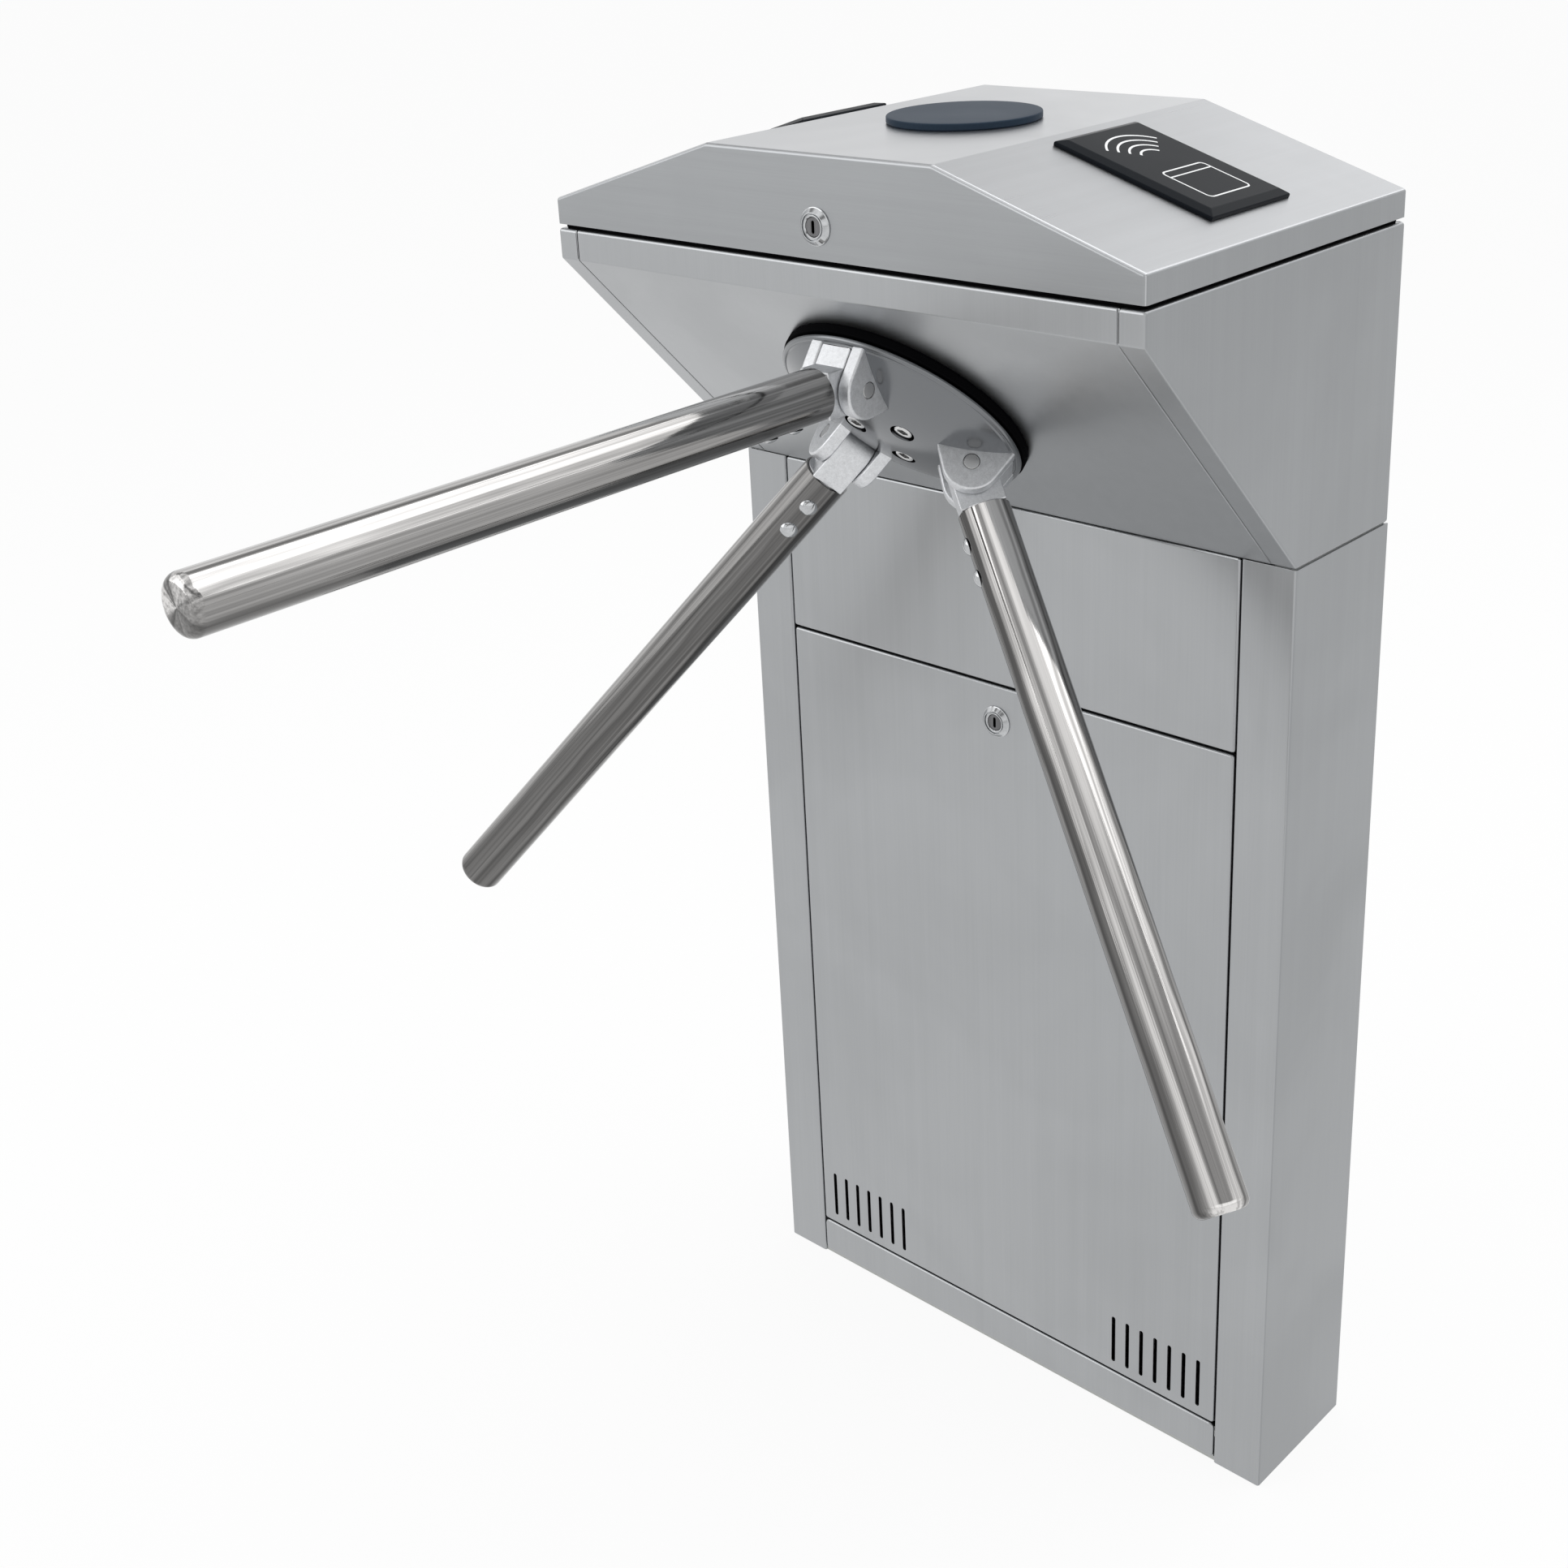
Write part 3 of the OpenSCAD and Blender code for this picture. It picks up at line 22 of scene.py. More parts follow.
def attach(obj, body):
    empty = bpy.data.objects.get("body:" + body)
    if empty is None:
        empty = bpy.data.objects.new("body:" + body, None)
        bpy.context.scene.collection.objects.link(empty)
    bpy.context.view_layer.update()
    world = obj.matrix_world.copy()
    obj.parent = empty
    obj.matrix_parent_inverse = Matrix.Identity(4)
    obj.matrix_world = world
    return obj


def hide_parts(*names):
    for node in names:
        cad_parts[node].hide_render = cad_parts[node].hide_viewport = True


log = logging.getLogger("turnstile")
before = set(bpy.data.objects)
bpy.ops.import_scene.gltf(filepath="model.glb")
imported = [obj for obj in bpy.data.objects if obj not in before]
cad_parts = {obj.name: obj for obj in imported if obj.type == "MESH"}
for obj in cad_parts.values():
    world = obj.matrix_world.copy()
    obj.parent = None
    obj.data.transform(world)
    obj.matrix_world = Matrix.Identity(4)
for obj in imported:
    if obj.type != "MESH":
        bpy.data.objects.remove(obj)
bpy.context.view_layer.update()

MM = 0.001
TUBE_FRAME = "tube_frame"
MIRROR_X = np.diag([-1.0, 1.0, 1.0, 1.0])


# ---------------------------------------------------------------- shapes as whole arrays


@dataclass
class Skin:
    """A surface: points in millimetres, and faces as arrays of point numbers.

    Each array in faces has one row for each face, so faces of one size share an array.
    """

    points: np.ndarray
    faces: list[np.ndarray]

    def placed(self, place: np.ndarray) -> "Skin":
        """Moves the skin.

        Args:
            place: a 4 x 4 matrix; the skin is turned right side out if it mirrors.

        Returns:
            The moved skin.
        """
        points = self.points @ place[:3, :3].T + place[:3, 3]
        mirrored = np.linalg.det(place[:3, :3]) < 0
        return Skin(points, [f[:, ::-1] if mirrored else f for f in self.faces])

    def both_sides(self) -> "Skin":
        """The skin with its mirror image in the plane x = 0."""
        return joined([self, self.placed(MIRROR_X)])


def joined(skins: Iterable[Skin]) -> Skin:
    """Puts skins together without welding them.

    Args:
        skins: the skins.

    Returns:
        One skin that holds them all.
    """
    held = list(skins)
    starts = np.cumsum([0] + [len(s.points) for s in held[:-1]])
    faces = [f + start for s, start in zip(held, starts) for f in s.faces]
    return Skin(np.concatenate([s.points for s in held]), faces)


def axes(x: Sequence[float], y: Sequence[float], z: Sequence[float],
         origin: Sequence[float] = (0, 0, 0)) -> np.ndarray:
    """The matrix of a frame.

    Args:
        x: direction of its first axis.
        y: direction of its second axis.
        z: direction of its third axis.
        origin: its zero point.

    Returns:
        The 4 x 4 matrix that takes the frame's own points to where they lie.
    """
    place = np.eye(4)
    place[:3, :3] = np.array([x, y, z], float).T
    place[:3, 3] = origin
    return place


def shift(x: float, y: float, z: float) -> np.ndarray:
    """The 4 x 4 matrix of a move."""
    return axes((1, 0, 0), (0, 1, 0), (0, 0, 1), (x, y, z))


def turn(axis: int, degrees: float) -> np.ndarray:
    """The matrix of a right-handed turn.

    Args:
        axis: the axis turned about, 0, 1 or 2.
        degrees: the angle.

    Returns:
        The 4 x 4 matrix.
    """
    c, s = math.cos(math.radians(degrees)), math.sin(math.radians(degrees))
    place = np.eye(4)
    a, b = (axis + 1) % 3, (axis + 2) % 3
    place[a, a], place[a, b], place[b, a], place[b, b] = c, -s, s, c
    return place


# Outlines drawn in (X, Z) that grow towards the front, and in (Y, Z) that grow along +X
FACING_FRONT = axes((1, 0, 0), (0, 0, 1), (0, -1, 0))
FACING_BACK = axes((-1, 0, 0), (0, 0, 1), (0, 1, 0))
FACING_RIGHT = axes((0, 1, 0), (0, 0, 1), (1, 0, 0))


def grid_faces(rows: int, cols: int, wrap_rows: bool = False,
               wrap_cols: bool = True) -> np.ndarray:
    """Quads of a grid whose points are numbered row by row.

    Args:
        rows: rows of points.
        cols: points in each row.
        wrap_rows: the last row joins the first.
        wrap_cols: the last point of a row joins the first.

    Returns:
        An (n, 4) array; a quad faces along (column direction) x (row direction).
    """
    i = np.arange(rows if wrap_rows else rows - 1)[:, None]
    j = np.arange(cols if wrap_cols else cols - 1)[None, :]
    up, across = (i + 1) % rows, (j + 1) % cols
    quads = [i * cols + j, i * cols + across, up * cols + across, up * cols + j]
    return np.stack(np.broadcast_arrays(*quads), -1).reshape(-1, 4)


def circle(radius: float, count: int = 48, centre: Sequence[float] = (0, 0)) -> np.ndarray:
    """A circle as count points, P(a) = centre + radius (cos a, sin a)."""
    a = np.linspace(0, 2 * np.pi, count, endpoint=False)
    return np.asarray(centre, float) + radius * np.stack([np.cos(a), np.sin(a)], -1)


def rectangle(low: Sequence[float], high: Sequence[float]) -> list[tuple[float, float]]:
    """The corners of a rectangle, anticlockwise from low, the corner opposite high."""
    (x0, y0), (x1, y1) = low, high
    return [(x0, y0), (x1, y0), (x1, y1), (x0, y1)]


def rounded(corners: Sequence[Sequence[float]], radius: float | Sequence[float], steps: int = 5,
            closed: bool = True) -> np.ndarray:
    """An outline with a round arc at each corner.

    At a corner with half angle h the arc's middle lies r / sin h along the bisector, and the
    arc is the great-circle blend of its two end radii, (sin((1-t)w) u + sin(tw) v) / sin w.

    Args:
        corners: the corners in order.
        radius: one radius, or one for each corner.
        steps: points in each arc.
        closed: whether the last corner joins the first; if not, both ends stay plain.

    Returns:
        The points as an (n, 2) array.
    """
    p = np.asarray(corners, float)
    r = np.broadcast_to(np.asarray(radius, float), len(p))
    mid = p if closed else p[1:-1]
    r = r if closed else r[1:-1]
    back = (np.roll(p, 1, 0) if closed else p[:-2]) - mid
    fore = (np.roll(p, -1, 0) if closed else p[2:]) - mid
    back = back / np.linalg.norm(back, axis=1, keepdims=True)
    fore = fore / np.linalg.norm(fore, axis=1, keepdims=True)
    half = 0.5 * np.arccos(np.clip((back * fore).sum(1), -1, 1))[:, None]
    bisector = back + fore
    bisector /= np.linalg.norm(bisector, axis=1, keepdims=True)
    r = r[:, None]
    centre = mid + bisector * r / np.sin(half)
    u = mid + back * r / np.tan(half) - centre
    v = mid + fore * r / np.tan(half) - centre
    sweep = (np.pi - 2 * half)[:, None, :]
    t = np.linspace(0, 1, steps)[None, :, None]
    arcs = np.sin((1 - t) * sweep) * u[:, None] + np.sin(t * sweep) * v[:, None]
    arcs = (centre[:, None] + arcs / np.sin(sweep)).reshape(-1, 2)
    return arcs if closed else np.concatenate([p[:1], arcs, p[-1:]])


def mitres(outline: np.ndarray, closed: bool = True) -> np.ndarray:
    """Inward steps at each point of an outline, as long as takes every edge in by one.

    With n0 and n1 the left-hand normals of the two edges at a point, the step is
    (n0 + n1) / (1 + n0.n1).

    Args:
        outline: points, anticlockwise where closed.
        closed: whether the last point joins the first.

    Returns:
        One step for each point.
    """
    edge = np.roll(outline, -1, 0) - outline if closed else np.diff(outline, axis=0)
    edge = edge / np.linalg.norm(edge, axis=1, keepdims=True)
    after = np.stack([-edge[:, 1], edge[:, 0]], -1)
    before = np.roll(after, 1, 0)
    if not closed:
        before = np.concatenate([after[:1], after])
        after = np.concatenate([after, after[-1:]])
    return (before + after) / (1 + (before * after).sum(1, keepdims=True))


def filled(outline: np.ndarray, holes: Sequence[np.ndarray]) -> tuple[np.ndarray, np.ndarray]:
    """Triangles that fill an outline round its convex holes.

    Args:
        outline: the outer points, anticlockwise.
        holes: the points of each hole.

    Returns:
        The points and an (n, 3) array of anticlockwise triangles.
    """
    loops = [outline, *holes]
    starts = np.cumsum([0] + [len(loop) for loop in loops])
    edges = np.concatenate([
        np.stack([np.arange(n), (np.arange(n) + 1) % n], -1) + start
        for n, start in zip(map(len, loops), starts)
    ])
    points = np.concatenate(loops)
    done = delaunay_2d_cdt([Vector(p) for p in points], edges.tolist(), [], 1, 1e-6)
    flat = np.array([tuple(v) for v in done[0]])
    source = np.array([origin[0] if origin else 0 for origin in done[3]])
    triangles = np.array(done[2])
    loop_of = np.searchsorted(starts, source, side="right") - 1
    loops_met = loop_of[triangles]
    inside_hole = (loops_met[:, 0] > 0) & (np.ptp(loops_met, axis=1) == 0)
    return flat, triangles[~inside_hole]


def convex(points: np.ndarray) -> np.ndarray:
    """The convex outline round a set of points: the rim of their triangulation.

    Args:
        points: the points as an (n, 2) array.

    Returns:
        The outline's points, anticlockwise.
    """
    corners, _, faces, *_ = delaunay_2d_cdt([Vector(p) for p in points], [], [], 0, 1e-6)
    triangles = np.array(faces)
    edges = np.concatenate([triangles[:, [0, 1]], triangles[:, [1, 2]], triangles[:, [2, 0]]])
    keys = edges[:, 0] * len(corners) + edges[:, 1]
    twins = edges[:, 1] * len(corners) + edges[:, 0]
    rim = edges[~np.isin(keys, twins)]
    hull = np.array([tuple(v) for v in corners])[rim[:, 0]]
    middle = hull.mean(0)
    angle = np.arctan2(hull[:, 1] - middle[1], hull[:, 0] - middle[0])
    return hull[np.argsort(angle)]


def stack(outline: np.ndarray, layers: Sequence[tuple], holes: Sequence[np.ndarray] = ()) -> Skin:
    """A closed solid in layers: P(i, k) = outline_i + inset_k mitre_i at height_k.

    Its first and last layers are filled, and each hole runs straight between them.

    Args:
        outline: points in XY, anticlockwise.
        layers: (inset, height) from the first layer to the last; a height may be an array
            with one value for each point.
        holes: outlines of convex holes, anticlockwise.

    Returns:
        The solid.
    """
    n, steps = len(outline), mitres(outline)
    rows = [np.column_stack([outline + inset * steps, np.broadcast_to(height, n)])
            for inset, height in layers]
    side = Skin(np.concatenate(rows), [grid_faces(len(rows), n)])
    if not len(holes):
        ends = np.stack([np.arange(n)[::-1], np.arange(n) + (len(rows) - 1) * n])
        return Skin(side.points, [*side.faces, ends])
    parts = [side]
    low, high = rows[0][0, 2], rows[-1][0, 2]
    for row, height, backwards in ((rows[0], low, True), (rows[-1], high, False)):
        flat, triangles = filled(row[:, :2], holes)
        points = np.column_stack([flat, np.full(len(flat), height)])
        parts.append(Skin(points, [triangles[:, ::-1] if backwards else triangles]))
    for hole in holes:
        m = len(hole)
        wall = np.concatenate([np.column_stack([hole, np.full(m, z)]) for z in (high, low)])
        parts.append(Skin(wall, [grid_faces(2, m)]))
    return joined(parts)


def eased(low: float, high: float, ease: float, steps: int = 4) -> list[tuple[float, float]]:
    """Layers of a plate with quarter-round rims: inset e (1 - sin a), rise e (1 - cos a).

    Args:
        low: height of its lower face.
        high: height of its upper face.
        ease: radius e of the rounds.
        steps: layers in each round.

    Returns:
        The layers for stack.
    """
    a = np.linspace(0, np.pi / 2, steps)
    inset, rise = ease * (1 - np.sin(a)), ease * (1 - np.cos(a))
    up = [(i, low + r) for i, r in zip(inset, rise)]
    return up + [(i, high - r) for i, r in zip(inset[::-1], rise[::-1])]


def pan_layers(depth: float | np.ndarray, fold: float, sheet: float,
               steps: int = 5) -> list[tuple]:
    """Layers of a folded pan, from its inner face round its edge to its outer face at zero.

    Args:
        depth: depth of the folded edge, one value or one for each outline point.
        fold: outer radius of the fold.
        sheet: thickness of the sheet.
        steps: points in each fold.

    Returns:
        The layers for stack.
    """
    a = np.linspace(0, np.pi / 2, steps)
    inner = fold - sheet
    inside = [(fold - inner * math.sin(t), -sheet - inner * (1 - math.cos(t))) for t in a]
    outside = [(fold - fold * math.sin(t), -fold * (1 - math.cos(t))) for t in a]
    return [*inside, (sheet, -depth), (0.0, -depth), *outside[::-1]]


def box(low: Sequence[float], high: Sequence[float], ease: float = 0.3) -> Skin:
    """A straight-sided block with eased edges.

    Args:
        low: its corner with the lowest coordinates.
        high: its corner with the highest coordinates.
        ease: radius of the edges, which is less where the block is thin.

    Returns:
        The block.
    """
    (x0, y0, z0), (x1, y1, z1) = low, high
    corner = min(2 * ease, 0.4 * (x1 - x0), 0.4 * (y1 - y0))
    ease = min(ease, 0.4 * (z1 - z0), 0.9 * corner)
    outline = rounded(rectangle((x0, y0), (x1, y1)), corner, 3)
    return stack(outline, eased(z0, z1, ease, 3))


def lathe(profile: Sequence[Sequence[float]] | np.ndarray, count: int = 96,
          loop: bool = False) -> Skin:
    """A turned surface: P(k, a) = (r_k cos a, r_k sin a, z_k).

    Args:
        profile: (r, z) pairs; the surface faces right of the way the profile runs.
        count: points round the axis.
        loop: whether the last pair joins the first, as in a ring.

    Returns:
        The surface.
    """
    rz = np.asarray(profile, float)
    a = np.linspace(0, 2 * np.pi, count, endpoint=False)
    r, z = rz[:, :1], np.broadcast_to(rz[:, 1:], (len(rz), count))
    points = np.stack([r * np.cos(a), r * np.sin(a), z], -1).reshape(-1, 3)
    return Skin(points, [grid_faces(len(rz), count, wrap_rows=loop)])


def sheet_section(line: np.ndarray, sheet: float) -> np.ndarray:
    """The closed outline of a folded sheet that lies on the left of its outer face's line."""
    return np.concatenate([line, (line + sheet * mitres(line, closed=False))[::-1]])


def hexagon(radius: float, count: int = 48) -> np.ndarray:
    """A hexagon, r(a) = radius cos 30 / cos(a mod 60 - 30) in degrees.

    Args:
        radius: distance of its corners from the middle.
        count: points round it.

    Returns:
        The points as a (count, 2) array.
    """
    a = np.linspace(0, 2 * np.pi, count, endpoint=False)
    r = radius * math.cos(np.pi / 6) / np.cos(np.mod(a, np.pi / 3) - np.pi / 6)
    return np.stack([r * np.cos(a), r * np.sin(a)], -1)


def socket_head(radius: float, height: float, socket: float, depth: float, round_over: float,
                count: int = 48) -> Skin:
    """A screw head with a hexagon socket, standing on z = 0.

    Its rings are circles up the side and over the rim, then hexagons down the socket; ring k
    is P(a) = r_k(a) (cos a, sin a) at z_k.

    Args:
        radius: the head's radius.
        height: the head's height.
        socket: corner radius of the hexagon.
        depth: depth of the socket.
        round_over: radius of the rounded rim.
        count: points in each ring.

    Returns:
        The head, closed.
    """
    a = np.linspace(0, np.pi / 2, 5)
    rings = [(circle(max(r, 1e-3), count), z) for r, z in [
        (0, 0), (radius, 0),
        *zip(radius - round_over * (1 - np.cos(a)), height - round_over * (1 - np.sin(a))),
    ]]
    rings += [(hexagon(socket * k, count), z) for k, z in [
        (1.12, height), (1.0, height - 0.12 * socket), (1.0, height - depth),
        (0.5, height - depth - 0.25 * socket), (1e-3, height - depth - 0.35 * socket),
    ]]
    points = np.concatenate([np.column_stack([p, np.full(count, z)]) for p, z in rings])
    return Skin(points, [grid_faces(len(rings), count)])


def repeated(skin: Skin, places: Iterable[np.ndarray]) -> Skin:
    """One skin that holds a copy of skin at each place."""
    return joined(skin.placed(place) for place in places)


# ---------------------------------------------------------------- finishes


class Texture(Enum):
    """What a surface's fine relief looks like."""

    BRUSHED = "brushed"
    CAST = "cast"
    TURNED = "turned"
    MOULDED = "moulded"


# What a node's input can be fed
Fed = Union[bpy.types.NodeSocket, float, Sequence[float]]


@dataclass(frozen=True)
class Wiring:
    """Adds nodes to one node tree and feeds them."""

    tree: bpy.types.NodeTree

    def node(self, kind: str, **settings: object) -> bpy.types.Node:
        """Adds a shader node.

        Args:
            kind: its type, without ShaderNode before it.
            settings: its properties by name.

        Returns:
            The node.
        """
        made = self.tree.nodes.new("ShaderNode" + kind)
        for name, value in settings.items():
            setattr(made, name, value)
        return made

    def feed(self, slot: bpy.types.NodeSocket, value: Fed) -> None:
        """Links an output to a node's input, or sets the input to a value.

        Args:
            slot: the input.
            value: the output, number or colour.
        """
        if isinstance(value, bpy.types.NodeSocket):
            self.tree.links.new(value, slot)
        else:
            slot.default_value = value

    def math(self, operation: str, *values: Fed, clamp: bool = False) -> bpy.types.NodeSocket:
        """Adds a Math node.

        Args:
            operation: what it does.
            values: what its inputs get, in order.
            clamp: whether its result stays from 0 to 1.

        Returns:
            Its output.
        """
        made = self.node("Math", operation=operation, use_clamp=clamp)
        for slot, value in zip(made.inputs, values):
            self.feed(slot, value)
        return made.outputs[0]

    def scaled(self, vector: Fed, factor: Fed) -> bpy.types.NodeSocket:
        """Adds a node that multiplies a vector by a number.

        Args:
            vector: the vector.
            factor: the number.

        Returns:
            Its output.
        """
        made = self.node("VectorMath", operation="SCALE")
        self.feed(made.inputs[0], vector)
        self.feed(made.inputs["Scale"], factor)
        return made.outputs[0]

    def parted(self, vector: Fed) -> bpy.types.NodeOutputs:
        """Adds a node that parts a vector.

        Args:
            vector: the vector.

        Returns:
            Its outputs X, Y and Z.
        """
        made = self.node("SeparateXYZ")
        self.feed(made.inputs[0], vector)
        return made.outputs

    def noise(self, place: Fed, scale: float, detail: float, rough: float,
              distortion: float = 0.0) -> bpy.types.NodeSocket:
        """Adds a noise.

        Args:
            place: the coordinates it reads.
            scale: its patches in each unit of them.
            detail: its finer layers.
            rough: how strong those are.
            distortion: how far its patches are bent.

        Returns:
            Its value.
        """
        made = self.node("TexNoise")
        for name, value in (("Vector", place), ("Scale", scale), ("Detail", detail),
                            ("Roughness", rough), ("Distortion", distortion)):
            self.feed(made.inputs[name], value)
        return made.outputs[0]

    def ranged(self, value: Fed, start: float, end: float, low: float = 0.0, high: float = 1.0,
               curve: str = "LINEAR") -> bpy.types.NodeSocket:
        """Adds a node that takes start to end on to low to high.

        Args:
            value: what it reads.
            start: the value that becomes low.
            end: the value that becomes high.
            low: the result at and before start.
            high: the result at and after end.
            curve: how it goes from one to the other.

        Returns:
            Its output.
        """
        made = self.node("MapRange", interpolation_type=curve)
        for name, number in (("Value", value), ("From Min", start), ("From Max", end),
                             ("To Min", low), ("To Max", high)):
            self.feed(made.inputs[name], number)
        return made.outputs[0]

    def mixed(self, share: Fed, first: Fed, second: Fed) -> bpy.types.NodeSocket:
        """Adds a mix of two values.

        Args:
            share: the second one's share.
            first: the first value.
            second: the second value.

        Returns:
            Its output.
        """
        made = self.node("Mix")
        for slot, value in ((0, share), (2, first), (3, second)):
            self.feed(made.inputs[slot], value)
        return made.outputs[0]

    def mixed_colour(self, share: Fed, first: Fed, second: Fed,
                     blend: str = "MIX") -> bpy.types.NodeSocket:
        """Adds a mix of two colours.

        Args:
            share: the second one's share.
            first: the first colour.
            second: the second colour.
            blend: how they mix.

        Returns:
            Its output.
        """
        made = self.node("Mix", data_type="RGBA", blend_type=blend)
        for slot, value in ((0, share), (6, first), (7, second)):
            self.feed(made.inputs[slot], value)
        return made.outputs[2]

    def ramp(self, value: Fed, stops: Sequence[tuple[float, float]]) -> bpy.types.NodeSocket:
        """Adds a ramp of greys.

        Args:
            value: what it reads.
            stops: (position, level) of each stop.

        Returns:
            Its colour.
        """
        made = self.node("ValToRGB")
        elements = made.color_ramp.elements
        while len(elements) < len(stops):
            elements.new(1.0)
        for element, (at, level) in zip(elements, stops):
            element.position, element.color = at, (level, level, level, 1)
        self.feed(made.inputs[0], value)
        return made.outputs[0]

    def shared(self, group: bpy.types.NodeTree, place: Fed, **values: Fed) -> bpy.types.NodeSocket:
        """Places a shared group.

        Args:
            group: the group.
            place: the coordinates it reads.
            values: its other inputs by name.

        Returns:
            Its one output.
        """
        made = self.node("Group", node_tree=group)
        self.feed(made.inputs["Vector"], place)
        for name, value in values.items():
            self.feed(made.inputs[name], value)
        return made.outputs[0]

    def on_object(self) -> bpy.types.NodeSocket:
        """The object's own coordinates."""
        return self.node("TexCoord").outputs["Object"]

    def on_tube(self) -> bpy.types.NodeSocket:
        """The coordinates that a tube carries in its own frame, with its axis as the third."""
        return self.node("Attribute", attribute_name=TUBE_FRAME).outputs["Vector"]


class Effects:
    """Node groups that several finishes share, each made on first use."""

    # Levels of the painted reflection bands round a tube: (share of a turn, level)
    PAINTED_REFLECTION_BANDS = ((0.0, 1.0), (0.07, 0.95), (0.11, 0.30), (0.135, 0.10), (0.17, 0.04),
                  (0.20, 0.24), (0.24, 0.17), (0.28, 0.08), (0.30, 0.22), (0.39, 0.14),
                  (0.43, 0.10), (0.46, 0.30), (0.52, 0.34), (0.56, 0.50), (0.58, 0.30),
                  (0.62, 0.75), (0.65, 0.45), (0.69, 0.72), (0.75, 0.62), (0.785, 0.5),
                  (0.805, 0.06), (0.84, 0.30), (0.865, 0.08), (0.89, 0.8), (0.92, 0.45),
                  (0.94, 1.0), (1.0, 1.0))
    # How far the painted reflection bands are turned round the tube, in radians
    PAINTED_REFLECTION_BANDS_TURNED = 0.25

    @staticmethod
    def begin(name: str, output: str,
              **numbers: float) -> tuple[Wiring, bpy.types.Node, bpy.types.NodeSocket]:
        """Starts a group that reads coordinates, called Vector, and numbers.

        Args:
            name: the group's name.
            output: name of the one value that it puts out.
            numbers: its other inputs by name, with their defaults.

        Returns:
            Its wiring, its input node, and the socket that its result is fed to.
        """
        tree = bpy.data.node_groups.new(name, "ShaderNodeTree")
        tree.interface.new_socket(name="Vector", in_out="INPUT", socket_type="NodeSocketVector")
        for label, value in numbers.items():
            socket = tree.interface.new_socket(name=label, in_out="INPUT",
                                               socket_type="NodeSocketFloat")
            socket.default_value = value
        tree.interface.new_socket(name=output, in_out="OUTPUT", socket_type="NodeSocketFloat")
        source, result = (tree.nodes.new("NodeGroup" + end) for end in ("Input", "Output"))
        return Wiring(tree), source, result.inputs[output]

    @cached_property
    def lines(self) -> bpy.types.NodeTree:
        """Fine lines along the third axis: noise of density (x, y, stretch z), at two sizes.

        Returns:
            The group.
        """
        wiring, source, tone = self.begin("lines", "Tone", Density=900, Stretch=0.01)
        squash = wiring.node("CombineXYZ")
        for slot, value in zip(squash.inputs, (1, 1, source.outputs["Stretch"])):
            wiring.feed(slot, value)
        place = wiring.node("VectorMath", operation="MULTIPLY")
        wiring.feed(place.inputs[0], source.outputs["Vector"])
        wiring.feed(place.inputs[1], wiring.scaled(squash.outputs[0], source.outputs["Density"]))
        fine = wiring.noise(place.outputs[0], 1.0, 3, 0.6)
        broad = wiring.noise(place.outputs[0], 0.13, 2, 0.5)
        wiring.feed(tone, wiring.mixed(0.45, fine, broad))
        return wiring.tree

    @cached_property
    def grit(self) -> bpy.types.NodeTree:
        """Sandy relief of a casting or a moulding: two noises of one point, one much finer.

        Returns:
            The group.
        """
        wiring, source, tone = self.begin("grit", "Tone", Density=900)
        place = wiring.scaled(source.outputs["Vector"], source.outputs["Density"])
        fine, broad = wiring.noise(place, 1.0, 4, 0.7), wiring.noise(place, 0.3, 2, 0.5)
        wiring.feed(tone, wiring.mixed(0.4, fine, broad))
        return wiring.tree

    @cached_property
    def handling(self) -> bpy.types.NodeTree:
        """Soft patches, as wiping and hands leave them: a broad noise stretched to 0 to 1.

        Returns:
            The group.
        """
        wiring, source, mask = self.begin("handling", "Mask", Density=6)
        place = wiring.scaled(source.outputs["Vector"], source.outputs["Density"])
        patches = wiring.noise(place, 1.0, 3, 0.55, distortion=0.6)
        wiring.feed(mask, wiring.ranged(patches, 0.34, 0.68, curve="SMOOTHSTEP"))
        return wiring.tree

    @cached_property
    def painted_reflection_bands(self) -> bpy.types.NodeTree:
        """Painted reflections: light and dark bands along a tube, by the angle atan2(y, x) round
        its axis, waved by a slow noise and cut by fine lines. They stand in for the studio's
        reflections in the colour and stay fixed to the tube.

        Returns:
            The group.
        """
        wiring, source, tone = self.begin("painted_reflection_bands", "Tone", Lines=0.5)
        parts = wiring.parted(source.outputs["Vector"])
        slow = wiring.noise(source.outputs["Vector"], 9.0, 2, 0.5)
        angle = wiring.math("ARCTAN2", parts["Y"], parts["X"])
        waved = wiring.math("MULTIPLY_ADD", slow, 0.5, angle)
        turned = wiring.ranged(waved, self.PAINTED_REFLECTION_BANDS_TURNED - math.pi, self.PAINTED_REFLECTION_BANDS_TURNED + math.pi)
        cut = wiring.ranged(source.outputs["Lines"], 0, 1, 0.35, 1.6)
        wiring.feed(tone, wiring.math("MULTIPLY", wiring.ramp(turned, self.PAINTED_REFLECTION_BANDS), cut,
                                      clamp=True))
        return wiring.tree


effects = Effects()


